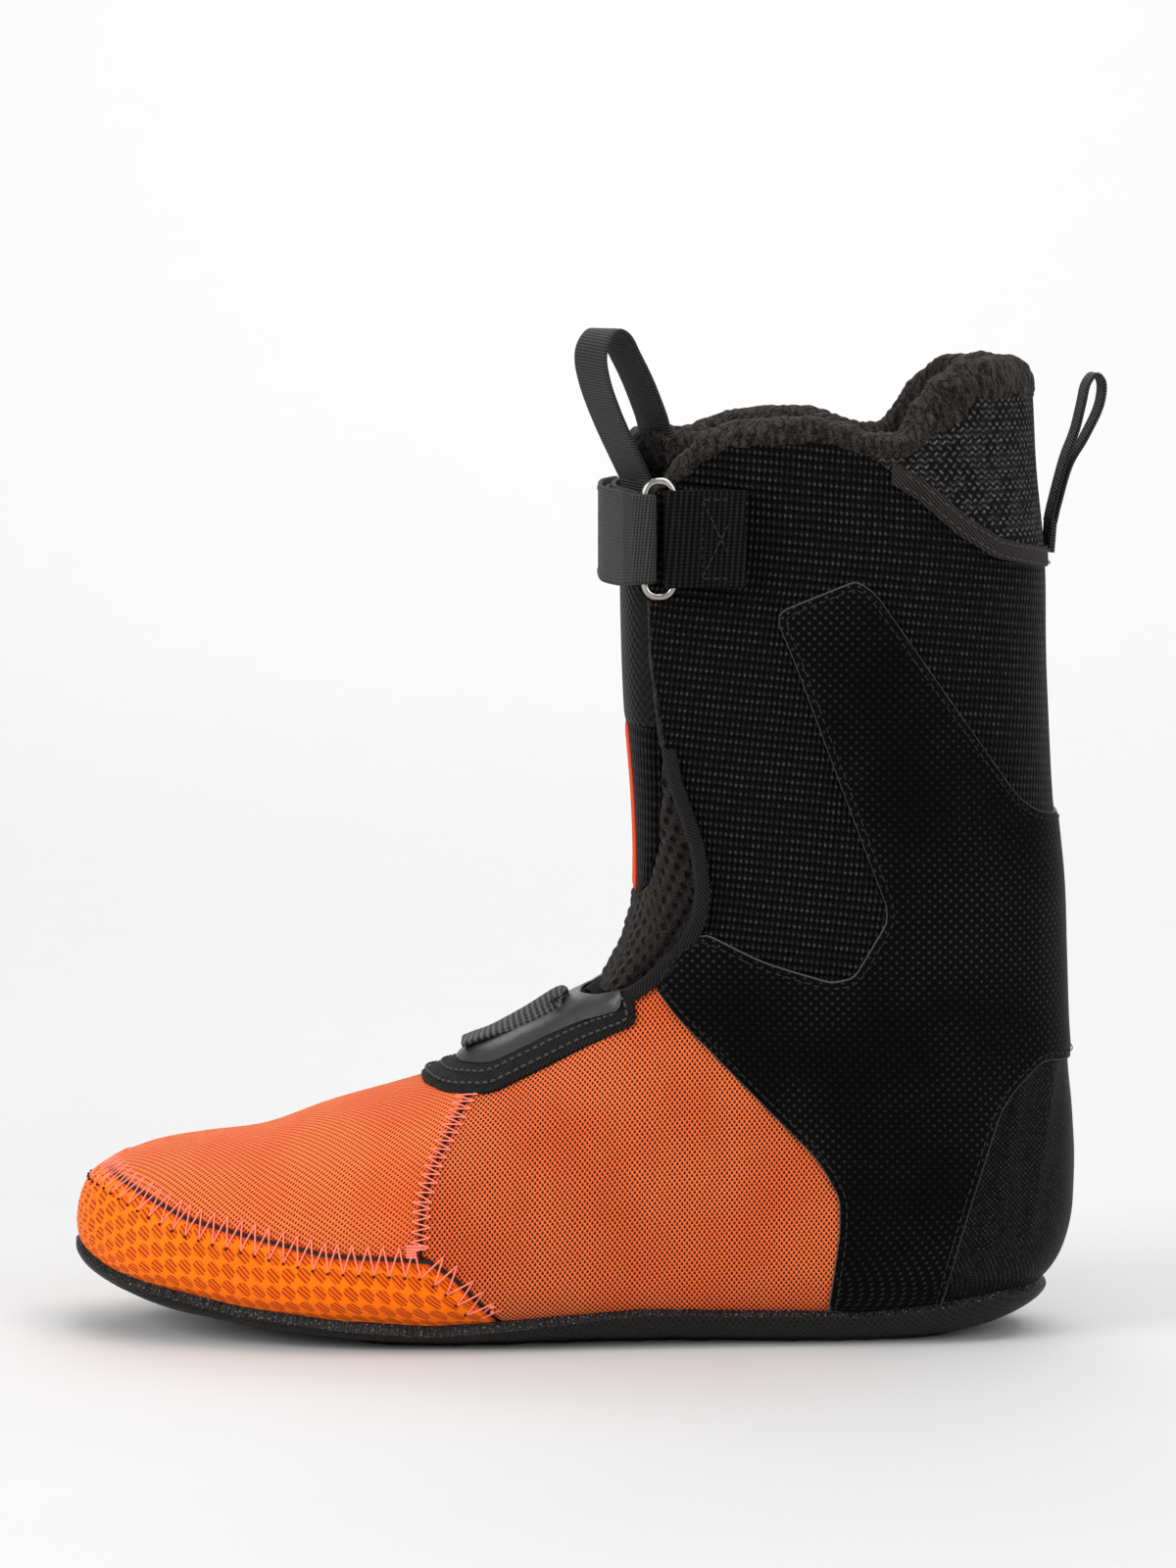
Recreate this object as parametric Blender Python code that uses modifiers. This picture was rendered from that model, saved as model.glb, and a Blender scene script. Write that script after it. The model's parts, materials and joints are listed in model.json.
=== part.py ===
"""Heat-mouldable inner boot (liner) of an alpine ski boot, as an assembly of separate pieces.

Run with: blender --background --python part.py

The script works in millimetres and scales to metres when a mesh is made. +Z is up, the toe points
along -X, and -Y is the lateral side, which carries the ring of the hook-and-loop strap.
The upper is one lofted surface, the last. Every shell of the upper is a patch of that surface, cut
along seam lines drawn in the side view and given an inner and an outer offset from the surface.
"""

import math

import bmesh
import bpy
import numpy as np

MM = 0.001

# ---------------------------------------------------------------- driving dimensions, mm
GAP = 0.3  # clearance between neighbouring pieces
SNAP = 0.1  # grid points nearer than this to a seam move onto it
COVER = 1.4  # textile covers of the upper
OVERLAY = 1.0  # moulded film overlay
FOAM = 7.0  # heat-mouldable foam at the cuff
LINING = 1.5  # fleece lining
TONGUE_LINING = 1.4
BOARD = 1.2  # insole board under the lining
FOOTBED = 3.8
COUNTER = 1.5  # moulded sheet round the heel
STIFFENER = 1.0  # moulded sheet in the tongue
SOLE_BOTTOM = 4.8  # sole under the foot
SOLE_SIDE = 1.5  # sole rim against the upper
THIN_WALL = 0.6  # wall thickness at the forefoot, as a share of that at the cuff
COLLAR_RADIUS = 4.6
TONGUE_ROLL = 5.0  # radius of the fleece roll on the tongue
TAPE = 4.0  # width of the edge bindings
TAPE_THICK = 1.0
PATCH_THICK = 0.8
COLLAR_TAPE = 4.5  # reach of the collar binding each side of its seam
FLAT = 1.0  # underside points lower than this are pressed onto the floor plane
STRAP_HEIGHT = 27.0
STRAP_THICK = 1.3
STRAP_Z = 229.3
STRAP_LAYERS = 3.9  # between the middles of the strap's two layers
HOOK_THICK = 1.9
RING_WIRE = 1.0
PULL_WIDTH = 15.0  # webbing of the front pull loop
REAR_PULL_WIDTH = 9.0
REAR_PULL_THICK = 1.0
INSTEP_WIDTH = 18.0  # webbing across the instep
TOE_FOAM_END = -20.0  # the softer toe foam lies in front of this
BOARD_END = 104.0  # the insole board and footbed lie in front of this
BED_START = -134.0
BOARD_SLOPE = 0.8  # least downward share of the normal under the board
BED_SLOPE = 0.87
COLLAR_START = 23.5
TONGUE_ROLL_INSET = 4.6
RIBS_SHOWN = 26
ROUND_SHOWN = 20
TONGUE_ROWS = 11
TONGUE_ROUND = 13

# Ribs of the last, from the toe tip over the heel and up the leg. Each rib is a closed section
# between a point on the front line and a point on the back line, both in the side view:
# front x, front z, back x, back z, half width, shift to the medial side, back and front squareness,
# share of the rib below its widest point, wall thickness as a share of that at the cuff.
RIBS = [
    (-147.6, 30.0, -147.6, 30.0, 0.0, 7.0, 2.0, 2.0, 0.45, THIN_WALL),
    (-146.6, 36.5, -146.4, 25.0, 9.0, 7.0, 2.1, 2.1, 0.45, THIN_WALL),
    (-144.4, 41.5, -143.8, 21.5, 16.5, 6.8, 2.3, 2.1, 0.44, THIN_WALL),
    (-140.5, 45.5, -139.5, 18.8, 23.0, 6.4, 2.6, 2.2, 0.42, THIN_WALL),
    (-134.0, 49.0, -132.5, 16.0, 30.0, 5.8, 3.0, 2.2, 0.40, THIN_WALL),
    (-124.0, 52.5, -122.0, 12.8, 36.5, 5.0, 3.3, 2.2, 0.38, THIN_WALL),
    (-110.0, 55.0, -107.0, 9.8, 42.0, 4.0, 3.5, 2.2, 0.36, THIN_WALL),
    (-93.0, 57.3, -89.0, 7.2, 46.5, 2.8, 3.6, 2.2, 0.35, THIN_WALL),
    (-75.0, 63.8, -70.0, 5.6, 49.8, 1.5, 3.7, 2.1, 0.33, THIN_WALL),
    (-58.0, 69.0, -52.0, 4.6, 50.5, 0.6, 3.8, 2.1, 0.31, THIN_WALL),
    (-41.0, 75.0, -33.0, 4.5, 49.5, 0.0, 3.8, 2.1, 0.30, 0.62),
    (-25.0, 82.3, -13.0, 4.8, 47.0, 0.0, 3.9, 2.1, 0.30, 0.66),
    (-10.0, 89.0, 8.0, 5.0, 44.0, 0.0, 4.1, 2.2, 0.32, 0.72),
    (0.0, 97.0, 30.0, 5.0, 41.5, 0.0, 4.4, 2.4, 0.34, 0.78),
    (4.0, 107.0, 56.0, 4.6, 39.8, 0.0, 4.7, 2.7, 0.37, 0.84),
    (4.6, 117.0, 82.0, 4.6, 38.6, 0.0, 4.7, 3.0, 0.40, 0.88),
    (4.4, 127.0, 106.0, 6.0, 38.0, 0.0, 4.2, 3.3, 0.42, 0.92),
    (4.0, 136.5, 124.0, 11.5, 37.8, 0.0, 3.4, 3.5, 0.43, 0.95),
    (4.0, 145.5, 134.0, 20.0, 38.0, 0.0, 2.8, 3.7, 0.44, 0.97),
    (4.0, 154.0, 138.6, 33.0, 38.6, 0.0, 2.5, 3.8, 0.45, 1.0),
    (4.0, 163.0, 139.7, 50.0, 39.3, 0.0, 2.4, 3.9, 0.46, 1.0),
    (4.0, 172.5, 138.4, 69.0, 40.1, 0.0, 2.4, 4.0, 0.47, 1.0),
    (4.0, 182.5, 136.8, 89.0, 41.0, 0.0, 2.4, 4.0, 0.48, 1.0),
    (4.0, 193.0, 135.8, 109.0, 42.2, 0.0, 2.4, 4.0, 0.49, 1.0),
    (4.0, 204.0, 134.9, 130.0, 43.6, 0.0, 2.4, 4.0, 0.50, 1.0),
    (4.0, 215.0, 132.6, 152.0, 45.2, 0.0, 2.4, 4.0, 0.50, 1.0),
    (4.0, 226.5, 131.2, 175.0, 46.6, 0.0, 2.4, 4.0, 0.50, 1.0),
    (4.0, 239.0, 130.2, 199.0, 47.8, 0.0, 2.4, 4.0, 0.50, 1.0),
    (4.0, 252.0, 129.6, 223.0, 48.6, 0.0, 2.4, 4.0, 0.50, 1.0),
    (4.0, 266.0, 127.2, 247.0, 49.0, 0.0, 2.4, 4.0, 0.50, 1.0),
    (5.0, 280.0, 126.0, 268.0, 49.0, 0.0, 2.4, 4.0, 0.50, 1.0),
    (6.0, 294.0, 124.0, 290.0, 49.0, 0.0, 2.4, 4.0, 0.50, 1.0),
]

# Side-view lines (x, z). Each closed outline bounds a region, on both sides of the boot alike.
FLAP_EDGE = [
    (12.3, 101.5), (18.3, 106.5), (26.0, 115.0), (29.5, 122.0), (30.6, 130.4), (29.1, 142.0),
    (26.0, 151.3), (23.0, 159.8), (20.1, 175.0), (17.6, 195.0), (17.0, 215.0), (17.6, 236.0),
]
COLLAR = [
    (17.6, 247.0), (24.6, 253.5), (30.3, 258.7), (38.5, 261.8), (49.2, 263.3), (59.6, 263.8),
    (70.0, 262.3), (80.4, 258.8), (86.0, 259.0), (93.2, 267.1), (99.6, 274.5), (107.0, 278.9),
    (114.5, 280.0), (119.9, 279.5),
]
SPOILER_LINE = [(60.0, 264.0), (84.0, 247.5), (93.0, 242.5), (104.0, 233.5), (114.0, 227.0), (150.0, 224.0)]
RAND_SEAM = [
    (-170.0, 50.0), (-137.0, 46.5), (-127.0, 42.5), (-113.0, 36.5), (-93.0, 32.2), (-73.0, 28.2),
    (-54.5, 27.5), (-44.8, 27.0), (-37.2, 22.0), (-31.4, 15.5), (-24.7, 8.0), (-24.7, -30.0),
]
VAMP_SEAM = [
    (-47.0, -30.0), (-47.0, 30.0), (-46.5, 43.0), (-43.3, 52.8), (-39.0, 61.6), (-33.6, 71.5), (-20.0, 95.0),
]
SIDE_PANEL_BACK = [(20.0, 150.0), (20.0, 118.0), (45.0, 100.0), (68.0, 72.0), (84.0, 50.0), (84.0, -30.0)]
HEEL_PANEL_FRONT = [(160.0, 96.0), (110.0, 88.0), (103.0, 60.0), (95.0, 35.0), (88.0, -30.0)]
OVERLAY_OUTLINE = [
    (52.2, 207.0), (54.0, 209.5), (74.5, 217.8), (79.8, 213.9), (124.7, 149.5), (160.0, 149.5),
    (160.0, 78.0), (137.0, 79.0), (128.2, 80.6), (119.7, 72.4), (115.9, 66.4), (106.0, 34.7),
    (99.0, 9.0), (97.0, -20.0), (64.0, -20.0), (67.5, 10.0), (70.7, 33.0), (70.7, 43.2), (64.5, 54.0),
    (49.2, 69.4), (24.6, 94.4), (17.6, 104.3), (26.0, 115.0), (33.0, 118.0), (49.2, 110.0),
    (68.3, 104.4), (74.5, 105.9), (83.4, 121.4), (83.4, 126.0), (74.5, 149.2), (57.7, 193.9),
]
PATCH_OUTLINE = [
    (-47.6, 72.0), (-39.5, 70.3), (-27.0, 71.3), (-10.7, 79.0), (2.0, 85.6), (13.7, 91.8),
    (13.0, 99.0), (-4.0, 110.0), (-60.0, 110.0),
]
SOLE_TOP = [
    (-160.0, 27.0), (-147.3, 25.5), (-137.0, 20.0), (-122.5, 16.5), (-98.5, 12.2), (-68.5, 9.3),
    (-45.0, 7.6), (-28.0, 8.7), (-6.0, 10.2), (15.0, 11.8), (47.0, 10.8), (80.0, 10.2), (102.0, 12.4),
    (118.0, 14.8), (133.0, 15.5), (150.0, 15.5),
]

# Tongue: height, front x, half width, length of each side wing.
TONGUE = [
    (99.0, 3.0, 19.0, 11.0), (104.0, 5.5, 21.0, 15.0), (112.0, 9.5, 24.0, 20.0),
    (122.0, 12.2, 26.0, 24.0), (135.0, 13.0, 27.0, 27.0), (155.0, 12.3, 28.0, 28.0),
    (180.0, 10.3, 29.0, 29.0), (205.0, 9.4, 30.0, 30.0), (230.0, 9.2, 30.0, 30.0),
    (247.0, 10.2, 30.0, 28.0), (256.0, 11.2, 29.0, 24.0),
]
TONGUE_HINGE = (3.0, 0.0, 99.0)
CENTRE = (0.76, 1.12)  # puts the middle of the whole part at x = 0, y = 0
LOOP_BASE = (13.8, -25.3)  # where the front pull loop leaves the tongue, in plan
LOOP_TURN = math.radians(35.0)  # from straight ahead to the way the loop faces
LOOP_PIVOT_Z = 244.4
REAR_PIVOT = (131.6, 0.0, 231.6)
FOOTBED_PIVOT = (-132.0, 0.0, 28.0)
TONGUE_FOAM = 5.6
TONGUE_TOP = 247.0
TONGUE_PANEL_LOW = 175.0
TONGUE_STRIP_HALF = 11.0


# ---------------------------------------------------------------- numbers
def spline(rows, samples):
    """Points on a smooth curve through all the rows, which may have any number of columns."""
    rows = np.array(rows, float)
    ends = np.vstack([2 * rows[0] - rows[1], rows, 2 * rows[-1] - rows[-2]])
    where = np.linspace(0, len(rows) - 1, samples)
    start = np.minimum(where.astype(int), len(rows) - 2)
    t = (where - start)[:, None]
    a, b, c, d = (ends[start + k] for k in range(4))
    return 0.5 * (2 * b + (c - a) * t + (2 * a - 5 * b + 4 * c - d) * t**2 + (3 * b - a - 3 * c + d) * t**3)


def evenly(points, count):
    """Points at even distances along a line of points."""
    run = np.concatenate([[0], np.cumsum(np.linalg.norm(np.diff(points, axis=0), axis=1))])
    where = np.linspace(0, run[-1], count)
    return np.stack([np.interp(where, run, column) for column in points.T], axis=1)


def height_on(line, x):
    """Height of a left-to-right side-view line at x."""
    line = np.array(line)
    return np.interp(x, line[:, 0], line[:, 1])


def line_distance(line, x, z):
    """Distance of side-view points to an open line."""
    corners = np.array(line, float)
    point = np.stack([x, z], axis=-1)
    nearest = np.full(len(point), 1e9)
    for a, b in zip(corners, corners[1:]):
        along = b - a
        share = np.clip((point - a) @ along / (along @ along), 0, 1)
        nearest = np.minimum(nearest, np.linalg.norm(point - a - share[:, None] * along, axis=1))
    return nearest


def signed_distance(outline, x, z):
    """Distance of side-view points to a closed outline, below zero inside it."""
    closed = list(outline) + [outline[0]]
    inside = np.zeros(len(x), bool)
    for a, b in zip(closed, closed[1:]):
        if a[1] != b[1]:
            level = (a[1] > z) != (b[1] > z)
            inside ^= level & (x < a[0] + (z - a[1]) * (b[0] - a[0]) / (b[1] - a[1]))
    nearest = line_distance(closed, x, z)
    return np.where(inside, -nearest, nearest)


# ---------------------------------------------------------------- patches of a surface
class Patch:
    """Points with outward normals, a wall-thickness share at each, and the faces between them."""

    def __init__(self, points, normals, share, faces):
        self.points, self.normals, self.share, self.faces = points, normals, share, faces

    def split(self, value_of, keep_both=False):
        """Cut the faces clean along value_of(patch) = 0 and keep the part below zero, or both."""
        value = value_of(self)
        value[np.abs(value) < SNAP] = -1e-6
        rows = np.column_stack([self.points, self.normals, self.share])
        made, crossing, faces = list(rows), {}, []
        for face in self.faces:
            below, above = [], []
            for a, b in zip(face, face[1:] + face[:1]):
                (below if value[a] < 0 else above).append(a)
                if (value[a] < 0) != (value[b] < 0):
                    edge = (min(a, b), max(a, b))
                    if edge not in crossing:
                        t = value[edge[0]] / (value[edge[0]] - value[edge[1]])
                        crossing[edge] = len(made)
                        made.append(rows[edge[0]] * (1 - t) + rows[edge[1]] * t)
                    below.append(crossing[edge])
                    above.append(crossing[edge])
            faces += [part for part in ([below, above] if keep_both else [below]) if len(part) > 2]
        used = sorted({corner for face in faces for corner in face})
        new = {old: k for k, old in enumerate(used)}
        made = np.array([made[old] for old in used])
        faces = [[new[corner] for corner in face] for face in faces]
        return Patch(made[:, :3], made[:, 3:6], made[:, 6], faces)

    def depth_in(self, outline):
        return signed_distance(outline, self.points[:, 0], self.points[:, 2])

    def rise_over(self, line):
        return self.points[:, 2] - height_on(line, self.points[:, 0])

    def within(self, outline, grow=0.0):
        return self.split(lambda p: p.depth_in(outline) - grow)

    def outside(self, outline, grow=0.0):
        return self.split(lambda p: grow - p.depth_in(outline))

    def under(self, line, drop=0.0):
        return self.split(lambda p: p.rise_over(line) + drop)

    def over(self, line, rise=0.0):
        return self.split(lambda p: rise - p.rise_over(line))

    def near(self, line, reach):
        return self.split(lambda p: line_distance(line, p.points[:, 0], p.points[:, 2]) - reach)

    def clear_of(self, line, reach):
        return self.split(lambda p: reach - line_distance(line, p.points[:, 0], p.points[:, 2]))

    def half(self, side):
        return self.split(lambda p: GAP / 2 - side * p.points[:, 1])

    def scored(self, outline):
        """The whole patch with two close rows of edges round an outline, where a step can go."""
        inner = self.split(lambda p: p.depth_in(outline) - 0.4, keep_both=True)
        return inner.split(lambda p: p.depth_in(outline) - 1.0, keep_both=True)

    def stepped(self, outline, inside, elsewhere):
        """An offset that differs within a scored outline."""
        return np.where(self.depth_in(outline) < 0.7, inside, elsewhere)

    def at(self, offset):
        """Points this far out of the surface; inward offsets follow the wall-thickness share."""
        step = np.where(np.broadcast_to(offset, self.share.shape) < 0, offset * self.share, offset)
        return self.points + self.normals * step[:, None]


def grid_patch(grid, share, wrap, pole):
    """A patch over a grid of points, rows by columns. wrap closes each row; pole makes row 0 one point."""
    rows, columns = grid.shape[:2]
    if wrap:
        across = np.roll(grid, -1, axis=1) - np.roll(grid, 1, axis=1)
    else:
        across = np.gradient(grid, axis=1)
    normals = np.cross(across, np.gradient(grid, axis=0))
    if pole:
        normals[0] = normals[1].mean(axis=0)
    normals /= np.linalg.norm(normals, axis=2, keepdims=True)
    number = np.arange(rows * columns).reshape(rows, columns)
    if pole:
        number[0] = number[0, 0]
    faces = []
    for i in range(rows - 1):
        for j in range(columns if wrap else columns - 1):
            k = (j + 1) % columns
            a, b, c, d = number[i, j], number[i, k], number[i + 1, k], number[i + 1, j]
            faces.append([a, c, d])
            if a != b:
                faces.append([a, b, c])
    return Patch(grid.reshape(-1, 3), normals.reshape(-1, 3), share.reshape(-1), faces)


def rib_section(rib, around):
    """One rib of the last: a closed curve from the front line round the lateral side and back."""
    front_x, front_z, back_x, back_z, half, shift, back_n, front_n, widest, _ = rib
    angle = np.linspace(0, math.pi, 181)
    c, s = np.cos(angle), np.clip(np.sin(angle), 0, 1)
    power = 2 / np.where(c > 0, front_n, back_n)
    reach = np.abs(c) ** power
    share = np.where(c > 0, widest + (1 - widest) * reach, widest * (1 - reach))
    side = half * s**power
    x = back_x + (front_x - back_x) * share
    z = back_z + (front_z - back_z) * share
    lateral = evenly(np.stack([x, -side, z], axis=1), around // 2 + 1)
    medial = lateral[-2:0:-1] * (1, -1, 1)
    return np.vstack([lateral, medial]) + (0, shift, 0)


def last_patch(ribs, around):
    """The outer surface of the upper."""
    rows = spline(RIBS, ribs)
    rows[0] = RIBS[0]
    grid = np.array([rib_section(row, around) for row in rows])
    front = np.abs(np.arange(around) / around - 0.5) * 2  # 1 at the front line, 0 at the back line
    thin_front = 1 - 0.35 * np.clip((front - 0.55) / 0.3, 0, 1)
    share = np.outer(rows[:, 9], thin_front)
    share = np.maximum(share, THIN_WALL * 0.95)
    return grid_patch(grid, share, wrap=True, pole=True)


def tongue_patch(levels, across):
    """The outer surface of the tongue: a U in plan, whose wings run straight back."""
    grid = []
    for z, front, half, wing in spline(TONGUE, levels):
        depth = min(15.0, wing * 0.6)
        angle = np.linspace(0, math.pi / 2, 40)
        corner_x = front + depth * (1 - np.cos(angle) ** (2 / 2.6))
        corner_y = half * np.sin(angle) ** (2 / 2.6)
        side = np.stack([np.append(corner_x, front + wing), np.append(corner_y, half)], axis=1)
        outline = np.vstack([side[::-1], side[1:] * (1, -1)])
        outline = evenly(outline, across)
        grid.append(np.column_stack([outline, np.full(across, z)]))
    position = np.abs(np.linspace(-1, 1, across))
    share = np.tile(1 - 0.4 * np.clip((position - 0.5) / 0.5, 0, 1), (levels, 1))
    return grid_patch(np.array(grid), share, wrap=False, pole=False)


# ---------------------------------------------------------------- objects
def material(name, colour, roughness, metallic=0.0):
    made = bpy.data.materials.new(name)
    made.use_nodes = True
    shader = made.node_tree.nodes["Principled BSDF"]
    shader.inputs["Base Color"].default_value = (*colour, 1)
    shader.inputs["Roughness"].default_value = roughness
    shader.inputs["Metallic"].default_value = metallic
    made.diffuse_color = (*colour, 1)
    return made


def add(name, mesh, finish):
    obj = bpy.data.objects.new(name, mesh)
    boot.objects.link(obj)
    mesh.materials.append(finish)
    return obj


def solid_mesh(name, patch, inner, outer):
    """A closed mesh between two offsets of a patch."""
    count = len(patch.points)
    points = np.vstack([patch.at(inner), patch.at(outer)]) * MM
    inside = [face[::-1] for face in patch.faces]
    outside = [[corner + count for corner in face] for face in patch.faces]
    edges = {}
    for face in patch.faces:
        for a, b in zip(face, face[1:] + face[:1]):
            if not edges.pop((b, a), None):
                edges[(a, b)] = True
    rim = [[b, a, a + count, b + count] for a, b in edges]
    mesh = bpy.data.meshes.new(name)
    mesh.from_pydata(points.tolist(), [], inside + outside + rim)
    mesh.validate()
    shaped = bmesh.new()
    shaped.from_mesh(mesh)
    bmesh.ops.recalc_face_normals(shaped, faces=shaped.faces)
    shaped.to_mesh(mesh)
    shaped.free()
    return mesh


def shell(name, patch, inner, outer, finish):
    """A piece of the upper: the patch as a solid between two offsets of its surface."""
    return add(name, solid_mesh(name, patch, inner, outer), finish)


def tube(name, points, radius, finish, closed=False, sides=2):
    """A round cord along a line of points."""
    curve = bpy.data.curves.new(name, "CURVE")
    curve.dimensions = "3D"
    curve.bevel_depth = radius * MM
    curve.bevel_resolution = sides
    curve.use_fill_caps = not closed
    line = curve.splines.new("POLY")
    line.points.add(len(points) - 1)
    for target, point in zip(line.points, points):
        target.co = (*(np.array(point) * MM), 1)
    line.use_cyclic_u = closed
    curve.materials.append(finish)
    obj = bpy.data.objects.new(name, curve)
    boot.objects.link(obj)
    return obj


def band(name, path, across, width, thick, finish):
    """A flat strap: a strip along a path, its width along the across direction, then solidified."""
    path, across = np.array(path, float), np.array(across, float)
    across = np.broadcast_to(across, path.shape)
    across = across / np.linalg.norm(across, axis=1, keepdims=True)
    points = np.vstack([path - across * width / 2, path + across * width / 2]) * MM
    count = len(path)
    faces = [[k, k + 1, k + 1 + count, k + count] for k in range(count - 1)]
    mesh = bpy.data.meshes.new(name)
    mesh.from_pydata(points.tolist(), [], faces)
    obj = add(name, mesh, finish)
    thickness = obj.modifiers.new("Thickness", "SOLIDIFY")
    thickness.thickness = thick * MM
    thickness.offset = 0
    thickness.use_even_offset = True
    return obj


def trace(patch, offset, value_of):
    """The closed line on a patch where value_of is zero, from the front round the lateral side."""
    value = value_of(patch)
    surface = patch.at(offset)
    edges = {(min(a, b), max(a, b)) for f in patch.faces for a, b in zip(f, f[1:] + f[:1])}
    found = []
    for a, b in sorted(edges):
        if (value[a] < 0) != (value[b] < 0):
            t = value[a] / (value[a] - value[b])
            found.append(surface[a] * (1 - t) + surface[b] * t)
    found = np.array(found)
    angle = np.arctan2(found[:, 1], found[:, 0] - 60)
    return found[np.argsort(angle)]


def hang(objects, point):
    """Move the origins of objects onto a joint axis."""
    point = np.array(point) * MM
    for obj in objects:
        if obj.type == "CURVE":
            for spot in obj.data.splines[0].points:
                spot.co = (*(np.array(spot.co[:3]) - point), 1)
        else:
            for vertex in obj.data.vertices:
                vertex.co = np.array(vertex.co) - point
        obj.location = point


# ---------------------------------------------------------------- scene and finishes
for old in list(bpy.data.objects):
    bpy.data.objects.remove(old)
boot = bpy.data.collections.new("ski_boot_liner")
bpy.context.scene.collection.children.link(boot)

orange_mesh = material("orange_mesh", (0.86, 0.22, 0.06), 0.75)
orange_rand = material("orange_rand", (1.0, 0.30, 0.02), 0.6)
black_mesh = material("black_mesh", (0.012, 0.012, 0.012), 0.6)
black_film = material("black_film", (0.012, 0.012, 0.011), 0.45)
black_fabric = material("black_fabric", (0.015, 0.015, 0.014), 0.7)
black_webbing = material("black_webbing", (0.03, 0.03, 0.029), 0.75)
black_leather = material("black_leather", (0.035, 0.033, 0.031), 0.4)
fleece = material("fleece", (0.075, 0.068, 0.064), 0.95)
foam = material("foam", (0.08, 0.08, 0.08), 0.9)
rubber = material("rubber", (0.02, 0.02, 0.02), 0.6)
board = material("board", (0.45, 0.42, 0.36), 0.8)
plastic = material("plastic", (0.05, 0.05, 0.05), 0.4)
steel = material("steel", (0.62, 0.60, 0.57), 0.2, 1.0)

last = last_patch(RIBS_SHOWN, ROUND_SHOWN)
tongue = tongue_patch(TONGUE_ROWS, TONGUE_ROUND)

# The upper as cut from the last: the throat opens in front, and the collar roll caps the top.
THROAT = [(-250.0, 160.0), (-3.0, 160.0), (-3.0, 95.0)] + FLAP_EDGE + [(17.6, 400.0), (-250.0, 400.0)]
BELOW_COLLAR = [(-300.0, -300.0), (-300.0, 247.0)] + COLLAR + [(300.0, 279.5), (300.0, -300.0)]
CUFF_REACH = 2 * COLLAR_RADIUS + 3 * GAP
upper = last.outside(THROAT).within(BELOW_COLLAR, -CUFF_REACH)

skin_in = -COVER
foam_out = skin_in - GAP
foam_in = foam_out - FOAM
lining_out = foam_in - GAP
lining_in = lining_out - LINING
seam = GAP / 2
RAND = RAND_SEAM + [(-170.0, -30.0)]
TOE_SIDE = VAMP_SEAM + [(-220.0, 95.0), (-220.0, -30.0)]
SIDE_FRONT = SIDE_PANEL_BACK + [(-220.0, -30.0), (-220.0, 150.0)]
HEEL = HEEL_PANEL_FRONT + [(160.0, -30.0)]
BINDING_RUN = FLAP_EDGE[1:9]


# ---------------------------------------------------------------- upper covers
def build_covers():
    shell("toe_top_panel", upper.within(TOE_SIDE, -seam).outside(RAND, seam), skin_in, 0, orange_mesh)
    shell("toe_rand", upper.within(RAND, -seam), skin_in, 0, orange_rand)
    vamp = upper.outside(TOE_SIDE, seam).outside(RAND, seam).within(SIDE_FRONT, -seam)
    rest = upper.outside(SIDE_FRONT, seam)
    cuff = rest.outside(HEEL, seam)
    film = upper.within(OVERLAY_OUTLINE).over(SOLE_TOP, 3 * GAP).clear_of(BINDING_RUN, TAPE + GAP)
    patch = upper.within(PATCH_OUTLINE)
    raised = patch.within([(x + 3, z + 4) for x, z in PATCH_OUTLINE])
    around = cuff.under(SPOILER_LINE, -COLLAR_TAPE).over(SPOILER_LINE, -COLLAR_TAPE)
    around = around.split(lambda p: 90 - p.points[:, 0])
    for name, side in (("lateral", -1), ("medial", 1)):
        shell(f"side_panel_{name}", vamp.half(side), skin_in, 0, orange_mesh)
        shell(f"cuff_mesh_{name}", cuff.half(side).under(SPOILER_LINE, seam), skin_in, 0, black_mesh)
        tape = upper.near(BINDING_RUN, TAPE).half(side)
        shell(f"flap_binding_{name}", tape, GAP, GAP + TAPE_THICK, black_fabric)
    shell("spoiler_mesh", cuff.over(SPOILER_LINE, seam), skin_in, 0, black_mesh)
    shell("collar_binding", around, GAP, GAP + TAPE_THICK, black_fabric)
    shell("heel_panel", rest.within(HEEL, -seam), skin_in, 0, black_fabric)
    shell("ankle_overlay", film, GAP, GAP + OVERLAY, black_film)
    shell("instep_binding", patch, GAP, GAP + TAPE_THICK, black_webbing)
    on_tape = 2 * GAP + TAPE_THICK
    shell("instep_patch", raised, on_tape, on_tape + PATCH_THICK, black_leather)


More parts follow.
